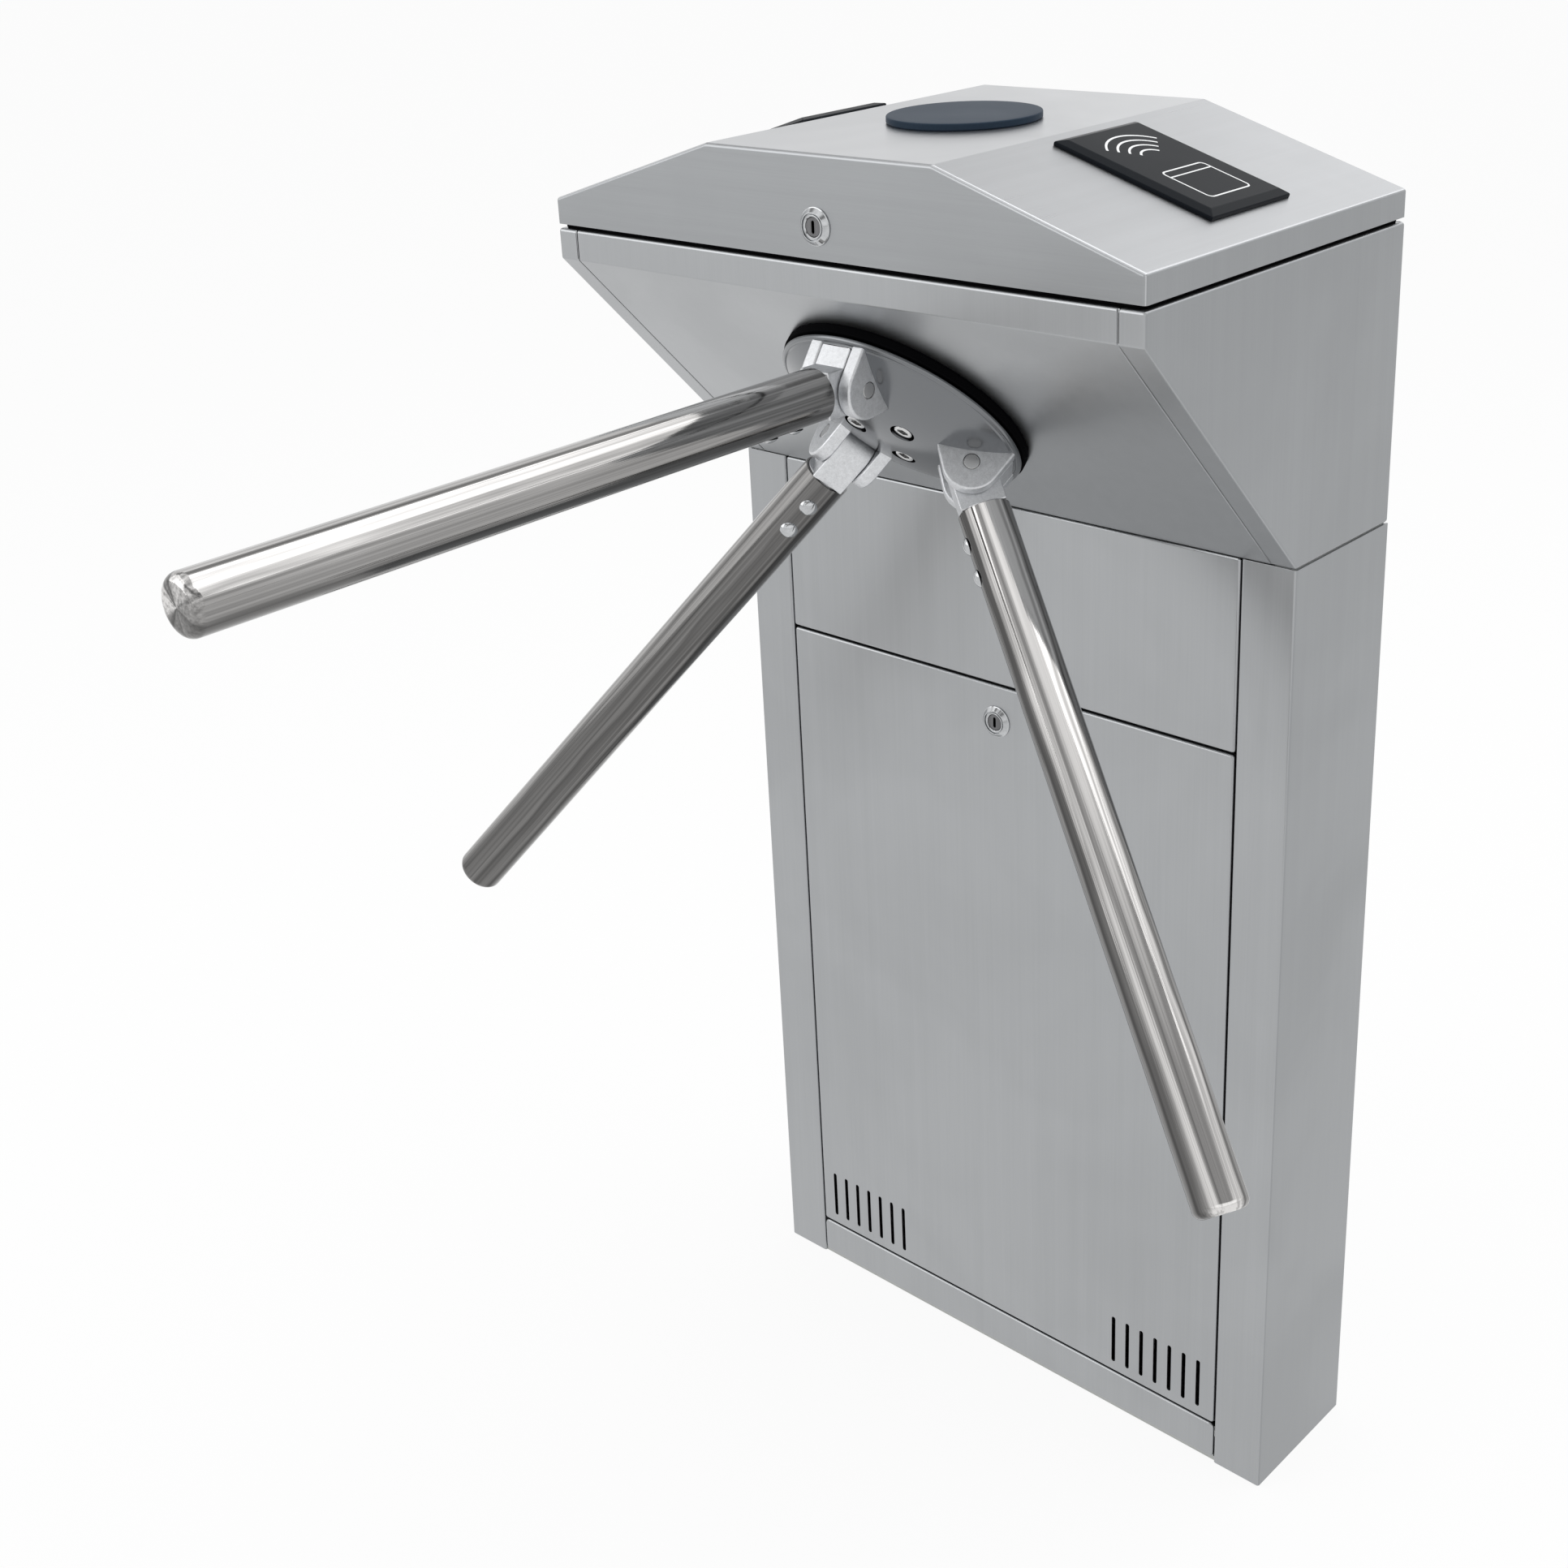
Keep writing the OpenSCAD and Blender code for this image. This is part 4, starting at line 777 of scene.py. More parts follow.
@dataclass(frozen=True)
class Finish:
    """One finish of the turnstile.

    Colours are linear. The relief's tone, which runs from 0 to 1 over contrast on either side
    of its mean, swings the colour and the roughness, and lifts the surface; the handling mask
    adds to the roughness and dims the colour a little. On a tube, light and dark bands painted
    round it stand in for reflections and swing the colour as well.
    """

    name: str
    slot: str
    colour: tuple[float, float, float]
    metal: float
    rough: float
    texture: Texture
    density: float = 900.0
    stretch: float = 0.01
    contrast: float = 0.5
    lie: tuple[float, float, float] = (0.0, 0.0, 0.0)
    tone_swing: float = 0.05
    rough_swing: float = 0.06
    patch: float = 0.05
    patch_density: float = 6.0
    relief: float = 0.00002
    relief_strength: float = 0.3
    # Reads the tube's own frame, and paints light and dark reflection bands round the tube into
    # the colour
    on_tube_with_painted_bands: bool = False
    coat: float = 0.0
    coat_rough: float = 0.05
    ior: float = 1.5

    def material(self) -> bpy.types.Material:
        """The finish's material, made on first use, under a name that no CAD slot has.

        Returns:
            The material.
        """
        held = bpy.data.materials.get(self.name)
        if held is not None:
            return held
        made = bpy.data.materials.new(self.name)
        made.use_nodes = True
        wiring = Wiring(made.node_tree)
        shader = wiring.tree.nodes["Principled BSDF"]
        shader.inputs["Metallic"].default_value = self.metal
        shader.inputs["Coat Weight"].default_value = self.coat
        shader.inputs["Coat Roughness"].default_value = self.coat_rough
        shader.inputs["IOR"].default_value = self.ior
        tone = self.relief_tone(wiring)
        mask = wiring.shared(effects.handling, wiring.on_object(), Density=self.patch_density)
        bump = wiring.node("Bump")
        bump.inputs["Strength"].default_value = self.relief_strength
        bump.inputs["Distance"].default_value = self.relief
        wiring.feed(bump.inputs["Height"], tone)
        wiring.feed(shader.inputs["Base Color"], self.shade(wiring, tone, mask))
        wiring.feed(shader.inputs["Roughness"], self.roughness(wiring, tone, mask))
        wiring.feed(shader.inputs["Normal"], bump.outputs[0])
        return made

    def relief_tone(self, wiring: Wiring) -> bpy.types.NodeSocket:
        """Places the relief's group.

        Args:
            wiring: the material's nodes.

        Returns:
            The relief's tone, from 0 to 1.
        """
        turned = wiring.node("Mapping")
        turned.inputs["Rotation"].default_value = [math.radians(a) for a in self.lie]
        wiring.feed(turned.inputs["Vector"],
                    wiring.on_tube() if self.on_tube_with_painted_bands else wiring.on_object())
        if self.texture in (Texture.BRUSHED, Texture.TURNED):
            tone = wiring.shared(effects.lines, turned.outputs[0], Density=self.density,
                                 Stretch=self.stretch)
        else:
            tone = wiring.shared(effects.grit, turned.outputs[0], Density=self.density)
        return wiring.ranged(tone, 0.5 - self.contrast, 0.5 + self.contrast)

    def shade(self, wiring: Wiring, tone: bpy.types.NodeSocket,
              mask: bpy.types.NodeSocket) -> bpy.types.NodeSocket:
        """The colour from dark to light by tone, or on a tube by its painted reflection bands,
        dimmed by mask.

        Args:
            wiring: the material's nodes.
            tone: the relief's tone.
            mask: the handling mask.

        Returns:
            What Base Color gets.
        """
        # On a tube the tone becomes painted reflections: bands of light and dark fixed round it
        if self.on_tube_with_painted_bands:
            tone = wiring.shared(effects.painted_reflection_bands, wiring.on_tube(), Lines=tone)
        dark, light = ((*np.clip(np.array(self.colour) * (1 + way * self.tone_swing), 0, 1), 1)
                       for way in (-1, 1))
        dim = (*[1 - self.patch] * 3, 1)
        return wiring.mixed_colour(mask, wiring.mixed_colour(tone, dark, light), dim, "MULTIPLY")

    def roughness(self, wiring: Wiring, tone: bpy.types.NodeSocket,
                  mask: bpy.types.NodeSocket) -> bpy.types.NodeSocket:
        """The value rough + rough_swing (tone - 1/2) + patch mask.

        Args:
            wiring: the material's nodes.
            tone: the relief's tone.
            mask: the handling mask.

        Returns:
            What Roughness gets.
        """
        half = self.rough_swing / 2
        swung = wiring.ranged(tone, 0, 1, self.rough - half, self.rough + half)
        return wiring.math("MULTIPLY_ADD", mask, self.patch, swung, clamp=True)


STEEL = (0.40, 0.41, 0.42)
SATIN_UPRIGHT = Finish("satin_sheet_upright", "sheet", STEEL, 1.0, 0.30, Texture.BRUSHED,
                       contrast=0.3)
# The same sheet steel painted darker where its faces turn to the sides: painted shade
SATIN_FLANK_PAINTED_SHADE = Finish("satin_sheet_flank_painted_shade", "sheet", (0.325, 0.335, 0.345), 1.0, 0.30,
                     Texture.BRUSHED, contrast=0.3)
# The same sheet steel brushed the other way and painted darker on the lid's gables: painted shade
SATIN_GABLE_PAINTED_SHADE = Finish("satin_sheet_gable_painted_shade", "sheet", (0.35, 0.36, 0.37), 1.0, 0.30,
                     Texture.BRUSHED, contrast=0.3, lie=(0, 90, 0))
# The same sheet steel painted lighter on the lid's top and roof: painted light from above
SATIN_LID_PAINTED_LIGHT = Finish("satin_sheet_lid_painted_light", "sheet", (0.52, 0.53, 0.545), 1.0, 0.28, Texture.BRUSHED,
                   contrast=0.3, lie=(90, 0, 0))
INNER_STEEL = Finish("zinc_plated_steel", "frame_steel", (0.42, 0.43, 0.42), 1.0, 0.42,
                     Texture.CAST, density=160, tone_swing=0.12, rough_swing=0.15)
# Polished tube whose colour swings from near black to light in painted reflection bands round it
CHROME_TUBE_PAINTED_REFLECTIONS = Finish("polished_chrome_tube_painted_reflections", "chrome", (0.385, 0.378, 0.372), 1.0, 0.075,
                Texture.TURNED, density=520, stretch=0.0035, contrast=0.15, tone_swing=0.88,
                rough_swing=0.05, relief=0.00012, relief_strength=0.5, on_tube_with_painted_bands=True,
                patch=0.02)
DARK_PLUG = Finish("darkened_lock_plug", "chrome", (0.16, 0.16, 0.165), 1.0, 0.18,
                   Texture.TURNED, density=700, contrast=0.25, tone_swing=0.4)
CHROME_SMALL = Finish("polished_chrome_fitting", "chrome", (0.50, 0.51, 0.52), 1.0, 0.10,
                      Texture.CAST, density=300, contrast=0.25, tone_swing=0.25,
                      rough_swing=0.06, relief=0.00001, patch=0.05)
CAST_DOME = Finish("satin_cast_dome", "cast_hub", (0.19, 0.197, 0.206), 1.0, 0.16,
                   Texture.CAST, density=2200, tone_swing=0.04, rough_swing=0.05,
                   relief=0.000006, relief_strength=0.12)
CAST_EAR = Finish("sandy_cast_ear", "cast_hub", (0.66, 0.67, 0.685), 1.0, 0.42,
                  Texture.CAST, density=1300, contrast=0.22, tone_swing=0.22, rough_swing=0.16,
                  relief=0.00009, relief_strength=0.6)
BRIGHT_STEEL = Finish("ground_bright_steel", "bright_steel", (0.62, 0.62, 0.62), 1.0, 0.16,
                      Texture.CAST, density=800, tone_swing=0.05, rough_swing=0.06)
BRASS = Finish("cut_gear_brass", "gear_brass", (0.62, 0.47, 0.20), 1.0, 0.28,
               Texture.TURNED, density=500, tone_swing=0.08)
BLACK_RUBBER = Finish("moulded_black_rubber", "black_rubber", (0.003, 0.003, 0.0035), 0.0, 0.72,
                      Texture.MOULDED, density=1200, tone_swing=0.3, ior=1.05)
# Black plastic lifted to a blue-grey: partly its own dark colour, partly a painted sheen for the
# grazing reflection that its low IOR leaves out
BLACK_PLASTIC_PAINTED_SHEEN = Finish("moulded_black_plastic_painted_sheen", "black_plastic", (0.024, 0.038, 0.058), 0.0, 0.38,
                       Texture.MOULDED, density=1600, tone_swing=0.25, ior=1.12,
                       relief=0.000015)
BLACK_WINDOW = Finish("black_window", "window_gloss", (0.005, 0.007, 0.010), 0.0, 0.30,
                      Texture.MOULDED, density=1600, tone_swing=0.2, ior=1.15,
                      relief=0.000006)
WHITE_PRINT = Finish("white_print", "window_gloss", (0.86, 0.87, 0.88), 0.0, 0.5,
                     Texture.MOULDED, density=2500, tone_swing=0.04)
COIL_STEEL = Finish("blackened_steel", "solenoid_steel", (0.16, 0.16, 0.165), 1.0, 0.4,
                    Texture.CAST, density=300, tone_swing=0.15)
BOARD = Finish("green_board", "board_green", (0.012, 0.10, 0.035), 0.0, 0.32,
               Texture.MOULDED, density=700, tone_swing=0.2, coat=0.4)
SUPPLY_CASE = Finish("perforated_case", "supply_case", (0.52, 0.53, 0.53), 1.0, 0.38,
                     Texture.BRUSHED, tone_swing=0.08)


# ---------------------------------------------------------------- pieces


@dataclass
class Piece:
    """How one skin becomes a piece of the scene."""

    name: str
    skin: Skin
    finish: Finish
    body: str
    stands_for: tuple[str, ...] = ()
    crease: float = 32.0
    bevel: float = 0.0
    tube_frame: np.ndarray | None = None
    carve: Skin | None = None
    added: Skin | None = None
    facing: tuple[tuple[int, Finish], ...] = ()

    def mesh_of(self, name: str, skin: Skin) -> bpy.types.Mesh:
        """Makes a welded mesh in metres.

        Args:
            name: the mesh's name.
            skin: the surface in millimetres.

        Returns:
            The mesh.
        """
        mesh = bpy.data.meshes.new(name)
        faces = [row for block in skin.faces for row in block.tolist()]
        mesh.from_pydata((skin.points * MM).tolist(), [], faces)
        if self.tube_frame is not None:
            local = np.c_[skin.points, np.ones(len(skin.points))] @ self.tube_frame.T * MM
            layer = mesh.attributes.new(TUBE_FRAME, "FLOAT_VECTOR", "POINT")
            layer.data.foreach_set("vector", local[:, :3].astype(np.float32).ravel())
        work = bmesh.new()
        work.from_mesh(mesh)
        bmesh.ops.remove_doubles(work, verts=work.verts, dist=2e-6)
        bmesh.ops.dissolve_degenerate(work, dist=1e-6, edges=work.edges)
        work.to_mesh(mesh)
        work.free()
        return mesh

    def carved(self, thing: bpy.types.Object) -> None:
        """Cuts carve out of the piece, then joins what is added to it.

        Args:
            thing: the piece's object.
        """
        if self.carve is not None:
            tool = bpy.data.objects.new("carving_tool", self.mesh_of("carving_tool", self.carve))
            bpy.context.scene.collection.objects.link(tool)
            cut = thing.modifiers.new("carve", "BOOLEAN")
            cut.operation, cut.solver, cut.object = "DIFFERENCE", "EXACT", tool
            graph = bpy.context.evaluated_depsgraph_get()
            done = bpy.data.meshes.new_from_object(thing.evaluated_get(graph))
            thing.modifiers.clear()
            thing.data = done
            bpy.data.objects.remove(tool)
        if self.added is not None:
            extra = self.mesh_of(self.name + "_added", self.added)
            work = bmesh.new()
            work.from_mesh(thing.data)
            work.from_mesh(extra)
            work.to_mesh(thing.data)
            work.free()
            bpy.data.meshes.remove(extra)

    def finish_faces(self, mesh: bpy.types.Mesh) -> None:
        """Gives the faces their finish.

        Args:
            mesh: the piece's mesh. Its faces that lie across an axis named in facing take the
            finish given there: sheet is brushed one way on each of its faces, and that finish's
            colour is also painted lighter or darker for the way the face turns, as painted light
            and painted shade.
        """
        normals = np.empty(3 * len(mesh.polygons), np.float32)
        mesh.polygons.foreach_get("normal", normals)
        normals = np.abs(normals.reshape(-1, 3))
        index = np.zeros(len(mesh.polygons), np.int32)
        mesh.materials.clear()
        mesh.materials.append(self.finish.material())
        for axis, finish in self.facing:
            mesh.materials.append(finish.material())
            index[normals[:, axis] > 0.71] = len(mesh.materials) - 1
        mesh.polygons.foreach_set("material_index", index)

    def make(self) -> bpy.types.Object:
        """Builds the piece, gives it its finish and its body, and logs it.

        Returns:
            The new object.
        """
        thing = bpy.data.objects.new(self.name, self.mesh_of(self.name, self.skin))
        bpy.context.scene.collection.objects.link(thing)
        self.carved(thing)
        mesh = thing.data
        self.finish_faces(mesh)
        mesh.polygons.foreach_set("use_smooth", np.ones(len(mesh.polygons), bool))
        mesh.set_sharp_from_angle(angle=math.radians(self.crease))
        if self.bevel:
            soft = thing.modifiers.new("eased_edges", "BEVEL")
            soft.width, soft.segments = self.bevel * MM, 2
            soft.limit_method, soft.angle_limit = "ANGLE", math.radians(self.crease)
            soft.use_clamp_overlap = True
        even = thing.modifiers.new("even_shading", "WEIGHTED_NORMAL")
        even.keep_sharp = True
        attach(thing, self.body)
        if self.stands_for:
            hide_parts(*self.stands_for)
        log.info("%s: %d faces on %s", self.name, len(mesh.polygons), self.body)
        return thing


def dress(finish: Finish, *nodes: str) -> None:
    """Gives CAD nodes that stay a finish.

    Args:
        finish: the finish.
        nodes: names of the nodes.
    """
    for node in nodes:
        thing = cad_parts[node]
        thing.data.materials.clear()
        thing.data.materials.append(finish.material())
        log.info("%s: dressed in %s", node, finish.name)


# ---------------------------------------------------------------- the cabinet


@dataclass(frozen=True)
class Plan:
    """Sizes that several sub-assemblies share."""

    side_x: float = 235.0
    front_y: float = -56.0
    back_y: float = 56.0
    head_front_y: float = -222.0
    base_t: float = 4.0
    post_top: float = 719.2
    pedestal_h: float = 720.0
    deck_top: float = 721.2
    band_z: float = 894.0
    head_top: float = 914.0
    lid_bottom: float = 917.0
    eave_z: float = 934.0
    roof_z: float = 980.0
    ridge_half_w: float = 90.0
    sheet: float = 1.5
    fold: float = 1.9
    sheet_ease: float = 0.35
    gap: float = 0.3
    hub_down: float = 114.0
    fitting_mid_y: float = -80.0

    @property
    def slope(self) -> float:
        """The front slope's lean from upright, in degrees."""
        return math.degrees(math.atan2(self.front_y - self.head_front_y,
                                       self.band_z - self.pedestal_h))

    @property
    def inner_x(self) -> float:
        """Inner face of the side sheets."""
        return self.side_x - self.sheet

    def hub_frame(self) -> np.ndarray:
        """The hub's frame: +Z out of the slope, +Y up the slope, zero on the slope.

        Returns:
            Its 4 x 4 matrix.
        """
        s, c = math.sin(math.radians(self.slope)), math.cos(math.radians(self.slope))
        middle = (0, self.head_front_y + self.hub_down * s, self.band_z - self.hub_down * c)
        return axes((1, 0, 0), (0, -s, c), (0, -c, -s), middle)

    def roof_frame(self) -> np.ndarray:
        """The frame of the lid's right slope: +X down it, +Z out of it, zero on the ridge.

        Returns:
            Its 4 x 4 matrix.
        """
        run, fall = self.side_x - self.ridge_half_w, self.roof_z - self.eave_z
        down = np.array([run, 0, -fall]) / math.hypot(run, fall)
        out = np.array([-down[2], 0, down[0]])
        return axes(down, (0, 1, 0), out, (self.ridge_half_w, self.fitting_mid_y, self.roof_z))

    def back_sheet(self, low: float, high: float) -> Skin:
        """A flat sheet between the sides, its outer face on the cabinet's back.

        Args:
            low: height of its lower edge.
            high: height of its upper edge.

        Returns:
            The sheet.
        """
        half = self.inner_x - self.gap
        outline = rounded(rectangle((-half, low), (half, high)), 1.5, 4)
        flat = stack(outline, eased(0, self.sheet, self.sheet_ease, 3))
        return flat.placed(shift(0, self.back_y - self.sheet, 0) @ FACING_BACK)


PLAN = Plan()


def side_pair(right: Skin, label: str, node: str) -> None:
    """Makes a folded side sheet's piece on the right, and its mirror image on the left; its faces
    turned to the sides take a darker copy of the sheet's colour, as painted shade.

    Args:
        right: the right sheet.
        label: what the pieces are called after their side.
        node: what the CAD nodes are called after their side.
    """
    for side, place in (("right", np.eye(4)), ("left", MIRROR_X)):
        Piece(f"{side}_{label}_folded", right.placed(place), SATIN_UPRIGHT, "cabinet",
              (f"{side}_{node}",), facing=((0, SATIN_FLANK_PAINTED_SHADE),)).make()


@dataclass
class Pedestal:
    """The pedestal: its two posts, back, front panels, sill, base plate and deck."""

    plan: Plan = PLAN
    post_w: float = 39.0
    post_flange_w: float = 22.0
    post_tie_w: float = 15.0
    panel_half_w: float = 195.2
    door_half_w: float = 194.8
    sill_top: float = 34.0
    sill_clear: float = 3.0
    sill_flange: float = 22.0
    sill_edge: float = 2.4
    sill_foot: float = 12.0
    door_low: float = 35.6
    door_top: float = 583.0
    panel_low: float = 584.6
    edge_depth: float = 10.0
    vent_count: int = 7
    vent_pitch: float = 12.6
    vent_x: float = 143.0
    vent_w: float = 3.4
    vent_h: float = 42.0
    vent_up: float = 9.0
    lock_z: float = 555.5
    lock_hole_r: float = 9.5
    tab_x: float = 150.0
    tab_half_w: float = 14.0
    tab_down: float = 8.0
    base_half_d: float = 54.2
    anchor_x: float = 185.0
    anchor_y: float = 30.0
    anchor_r: float = 6.5
    cable_hole_r: float = 22.5
    grommet_bore_r: float = 20.0
    grommet_neck_r: float = 22.48
    grommet_lip_r: float = 25.0
    grommet_lip_t: float = 3.0

    def posts(self) -> None:
        """The posts: a folded section carried up from the floor, with its flanges inside."""
        p = self.plan
        inner = p.side_x - self.post_w
        line = rounded([(inner, p.front_y + self.edge_depth), (inner, p.front_y),
                        (p.side_x, p.front_y), (p.side_x, p.back_y)], p.fold, closed=False)
        outer = stack(sheet_section(line, p.sheet), eased(0, p.post_top, p.sheet_ease, 3))
        flange_y = p.back_y - 2 * p.sheet
        flange = box((p.inner_x - self.post_flange_w, flange_y, p.base_t),
                     (p.inner_x, flange_y + p.sheet, p.post_top))
        ties = [box((p.inner_x - self.post_tie_w, p.front_y + p.sheet, z),
                    (p.inner_x, flange_y, z + p.sheet))
                for z in (p.base_t, p.post_top - p.sheet)]
        side_pair(joined([outer, flange, *ties]), "post", "post")

    def pan(self, half_w: float, low: float, high: float,
            holes: Sequence[np.ndarray] = ()) -> Skin:
        """A front panel folded back on all four sides, with holes through its face.

        Args:
            half_w: half its width.
            low: height of its lower edge.
            high: height of its upper edge.
            holes: outlines of the holes in (X, Z).

        Returns:
            The panel.
        """
        p = self.plan
        outline = rounded(rectangle((-half_w, low), (half_w, high)), p.fold + 0.4, 4)
        skin = stack(outline, pan_layers(self.edge_depth, p.fold, p.sheet), holes)
        return skin.placed(shift(0, p.front_y, 0) @ FACING_FRONT)

    def vents(self) -> list[np.ndarray]:
        """The door's two groups of vents, each a slot with a half circle at either end.

        Returns:
            The outline of each slot in (X, Z).
        """
        r = self.vent_w / 2
        a = np.linspace(0, np.pi, 7)
        top = np.stack([r * np.cos(a), self.vent_h - r + r * np.sin(a)], -1)
        low = np.stack([-r * np.cos(a), r - r * np.sin(a)], -1)
        slot = np.concatenate([top, low]) + (0, self.door_low + self.vent_up)
        steps = (np.arange(self.vent_count) - (self.vent_count - 1) / 2) * self.vent_pitch
        places = np.concatenate([side * self.vent_x + steps for side in (-1, 1)])
        return [slot + (x, 0) for x in places]

    def panels(self) -> None:
        """The door with its vents and lock hole, the fixed panel above it, and the sill."""
        p = self.plan
        lock_hole = circle(self.lock_hole_r, 32, (0, self.lock_z))
        door = self.pan(self.door_half_w, self.door_low, self.door_top, [*self.vents(), lock_hole])
        tab_y = p.front_y + self.edge_depth
        tab = box((self.tab_x - self.tab_half_w, tab_y - p.sheet, self.sill_top - self.tab_down),
                  (self.tab_x + self.tab_half_w, tab_y, self.door_low + 1))
        Piece("service_door_folded", joined([door, tab.both_sides()]), SATIN_UPRIGHT, "door",
              ("service_door",)).make()
        Piece("upper_panel_folded", self.pan(self.panel_half_w, self.panel_low, p.post_top),
              SATIN_UPRIGHT, "cabinet", ("upper_front_panel",)).make()
        outline = rounded(rectangle((-self.panel_half_w, self.sill_clear),
                                    (self.panel_half_w, self.sill_top)), 4.5, 7)
        on_top = outline[:, 1] > self.sill_top - 0.3
        depth = np.where(on_top, self.sill_flange, self.sill_edge)
        rail = stack(outline, pan_layers(depth, p.fold, p.sheet))
        rail = rail.placed(shift(0, p.front_y, 0) @ FACING_FRONT)
        foot = box((-self.panel_half_w, p.front_y + p.sheet, p.base_t),
                   (self.panel_half_w, p.front_y + self.sill_foot, p.base_t + p.sheet))
        Piece("sill_rail_folded", joined([rail, foot]), SATIN_UPRIGHT, "cabinet",
              ("front_sill",)).make()

    def floor_parts(self) -> None:
        """The base plate with its anchor holes, its grommet, and the deck plate."""
        p = self.plan
        holes = [circle(self.anchor_r, 32, (x, y)) for x in (-self.anchor_x, self.anchor_x)
                 for y in (-self.anchor_y, self.anchor_y)]
        corner = np.array([p.inner_x - p.gap, self.base_half_d])
        plate = stack(rounded(rectangle(-corner, corner), 2, 4), eased(0, p.base_t, 0.4, 3),
                      [*holes, circle(self.cable_hole_r, 48)])
        Piece("base_plate_cut", plate, INNER_STEEL, "cabinet", ("base_plate",)).make()
        bore, neck, lip = self.grommet_bore_r, self.grommet_neck_r, self.grommet_lip_r
        top = p.base_t + self.grommet_lip_t
        ring = rounded([(bore, 0), (neck, 0), (neck, p.base_t), (lip, p.base_t), (lip, top),
                        (bore, top)], [0.3, 0.3, 0.3, 0.8, 1.2, 0.8], 4)
        Piece("cable_grommet_moulded", lathe(ring, 64, loop=True), BLACK_RUBBER, "cabinet",
              ("cable_grommet",)).make()
        dress(INNER_STEEL, "deck_plate")

    def back(self) -> None:
        """The pedestal's back panel, a flat sheet."""
        Piece("pedestal_back_sheet", self.plan.back_sheet(self.sill_clear, self.plan.post_top),
              SATIN_UPRIGHT, "cabinet", ("pedestal_back",)).make()

    def build(self) -> None:
        """Makes every piece of the pedestal."""
        self.posts()
        self.panels()
        self.floor_parts()
        self.back()


@dataclass
class Head:
    """The head: its two sides, its front with band and slope, and its back."""

    plan: Plan = PLAN
    flange_w: float = 18.0
    under_edge: float = 15.0
    back_edge: float = 1.6
    top_edge: float = 15.5
    rear_flange_w: float = 22.0
    return_depth: float = 10.0
    fascia_half_w: float = 216.6
    rim_w: float = 14.0
    rim_half_w: float = 211.0
    shelf_depth: float = 22.0
    opening_r: float = 34.0

    def front_line(self, low: float) -> list[tuple[float, float]]:
        """Corners of the head's front in (Y, Z), from its top over the knee and down the slope.

        Args:
            low: the height that the slope ends at.

        Returns:
            The three corners.
        """
        p = self.plan
        y = p.front_y - (low - p.pedestal_h) * math.tan(math.radians(p.slope))
        return [(p.head_front_y, p.head_top), (p.head_front_y, p.band_z), (y, low)]

    def return_line(self) -> list[tuple[float, float]]:
        """Lower corners in (Y, Z) of the edges folded in behind the front.

        Returns:
            The slope's end on the deck, and the inner edge there and at the knee.
        """
        p = self.plan
        deck = self.front_line(p.deck_top)[-1]
        inner_y = deck[0] + self.return_depth / math.cos(math.radians(p.slope))
        knee_z = p.band_z + self.return_depth * math.tan(math.radians(p.slope / 2))
        return [deck, (inner_y, p.deck_top), (p.head_front_y + self.return_depth, knee_z)]

    def sides(self) -> None:
        """The sides: pans in (Y, Z) whose folded edges are the front flange and the rim."""
        p = self.plan
        top, knee, low = self.front_line(p.pedestal_h)
        corners = [low, (p.back_y, p.pedestal_h), (p.back_y, p.head_top), top, knee]
        steps = 4
        depths = np.array([self.under_edge, self.back_edge, self.top_edge, self.flange_w,
                           self.flange_w])
        t = np.linspace(0, 1, steps)[None, :]
        depth = ((1 - t) * np.roll(depths, 1)[:, None] + t * depths[:, None]).ravel()
        outline = rounded(corners, p.fold + 0.3, steps)
        outer = stack(outline, pan_layers(depth, p.fold, p.sheet))
        outer = outer.placed(shift(p.side_x, 0, 0) @ FACING_RIGHT)
        edge = [*self.return_line(), (p.head_front_y + self.return_depth, p.head_top), top, knee]
        start = p.side_x - self.flange_w
        turned_in = stack(rounded(edge, 0.8, 3), eased(start, start + p.sheet, 0.5, 3))
        rear = box((p.inner_x - self.rear_flange_w, p.back_y - 2 * p.sheet, p.deck_top),
                   (p.inner_x, p.back_y - p.sheet, p.head_top))
        side_pair(joined([outer, turned_in.placed(FACING_RIGHT), rear]), "head", "head_side")

    def front(self) -> None:
        """The front: one folded section from the rim over the band and down the slope."""
        p = self.plan
        back = p.head_front_y + self.rim_w
        line = rounded([(back, p.head_top - self.rim_w), (back, p.head_top),
                        *self.front_line(p.pedestal_h)], p.fold, closed=False)
        section = sheet_section(line, p.sheet)
        wide = stack(section, eased(-self.fascia_half_w, self.fascia_half_w, 0.6, 4))
        top, knee, deck = self.front_line(p.deck_top)
        edge = [*self.return_line(), (p.head_front_y + self.return_depth, p.head_top - 2),
                (top[0] + 1, p.head_top - 2), (knee[0] + 1, knee[1])]
        inner = stack(rounded(edge, 0.5, 3),
                      eased(self.fascia_half_w - p.sheet, self.fascia_half_w - 0.1, 0.4, 3))
        shelf = box((-self.fascia_half_w, deck[0] + 3, p.deck_top),
                    (self.fascia_half_w, p.front_y + self.shelf_depth, p.deck_top + p.sheet))
        opening = lathe([(0, -8), (self.opening_r, -8), (self.opening_r, 8), (0, 8)], 96)
        Piece("front_fascia_folded", wide.placed(FACING_RIGHT), SATIN_UPRIGHT, "cabinet",
              ("front_fascia",), carve=opening.placed(p.hub_frame()),
              added=joined([inner.placed(FACING_RIGHT).both_sides(), shelf])).make()

    def back(self) -> None:
        """The head's back panel with its rim."""
        p = self.plan
        panel = p.back_sheet(p.pedestal_h, p.head_top)
        rim = box((-self.rim_half_w, p.back_y - self.rim_w, p.head_top - p.sheet),
                  (self.rim_half_w, p.back_y - 1, p.head_top))
        Piece("head_back_sheet", joined([panel, rim]), SATIN_UPRIGHT, "cabinet",
              ("head_back",)).make()

    def build(self) -> None:
        """Makes every piece of the head."""
        self.sides()
        self.front()
        self.back()


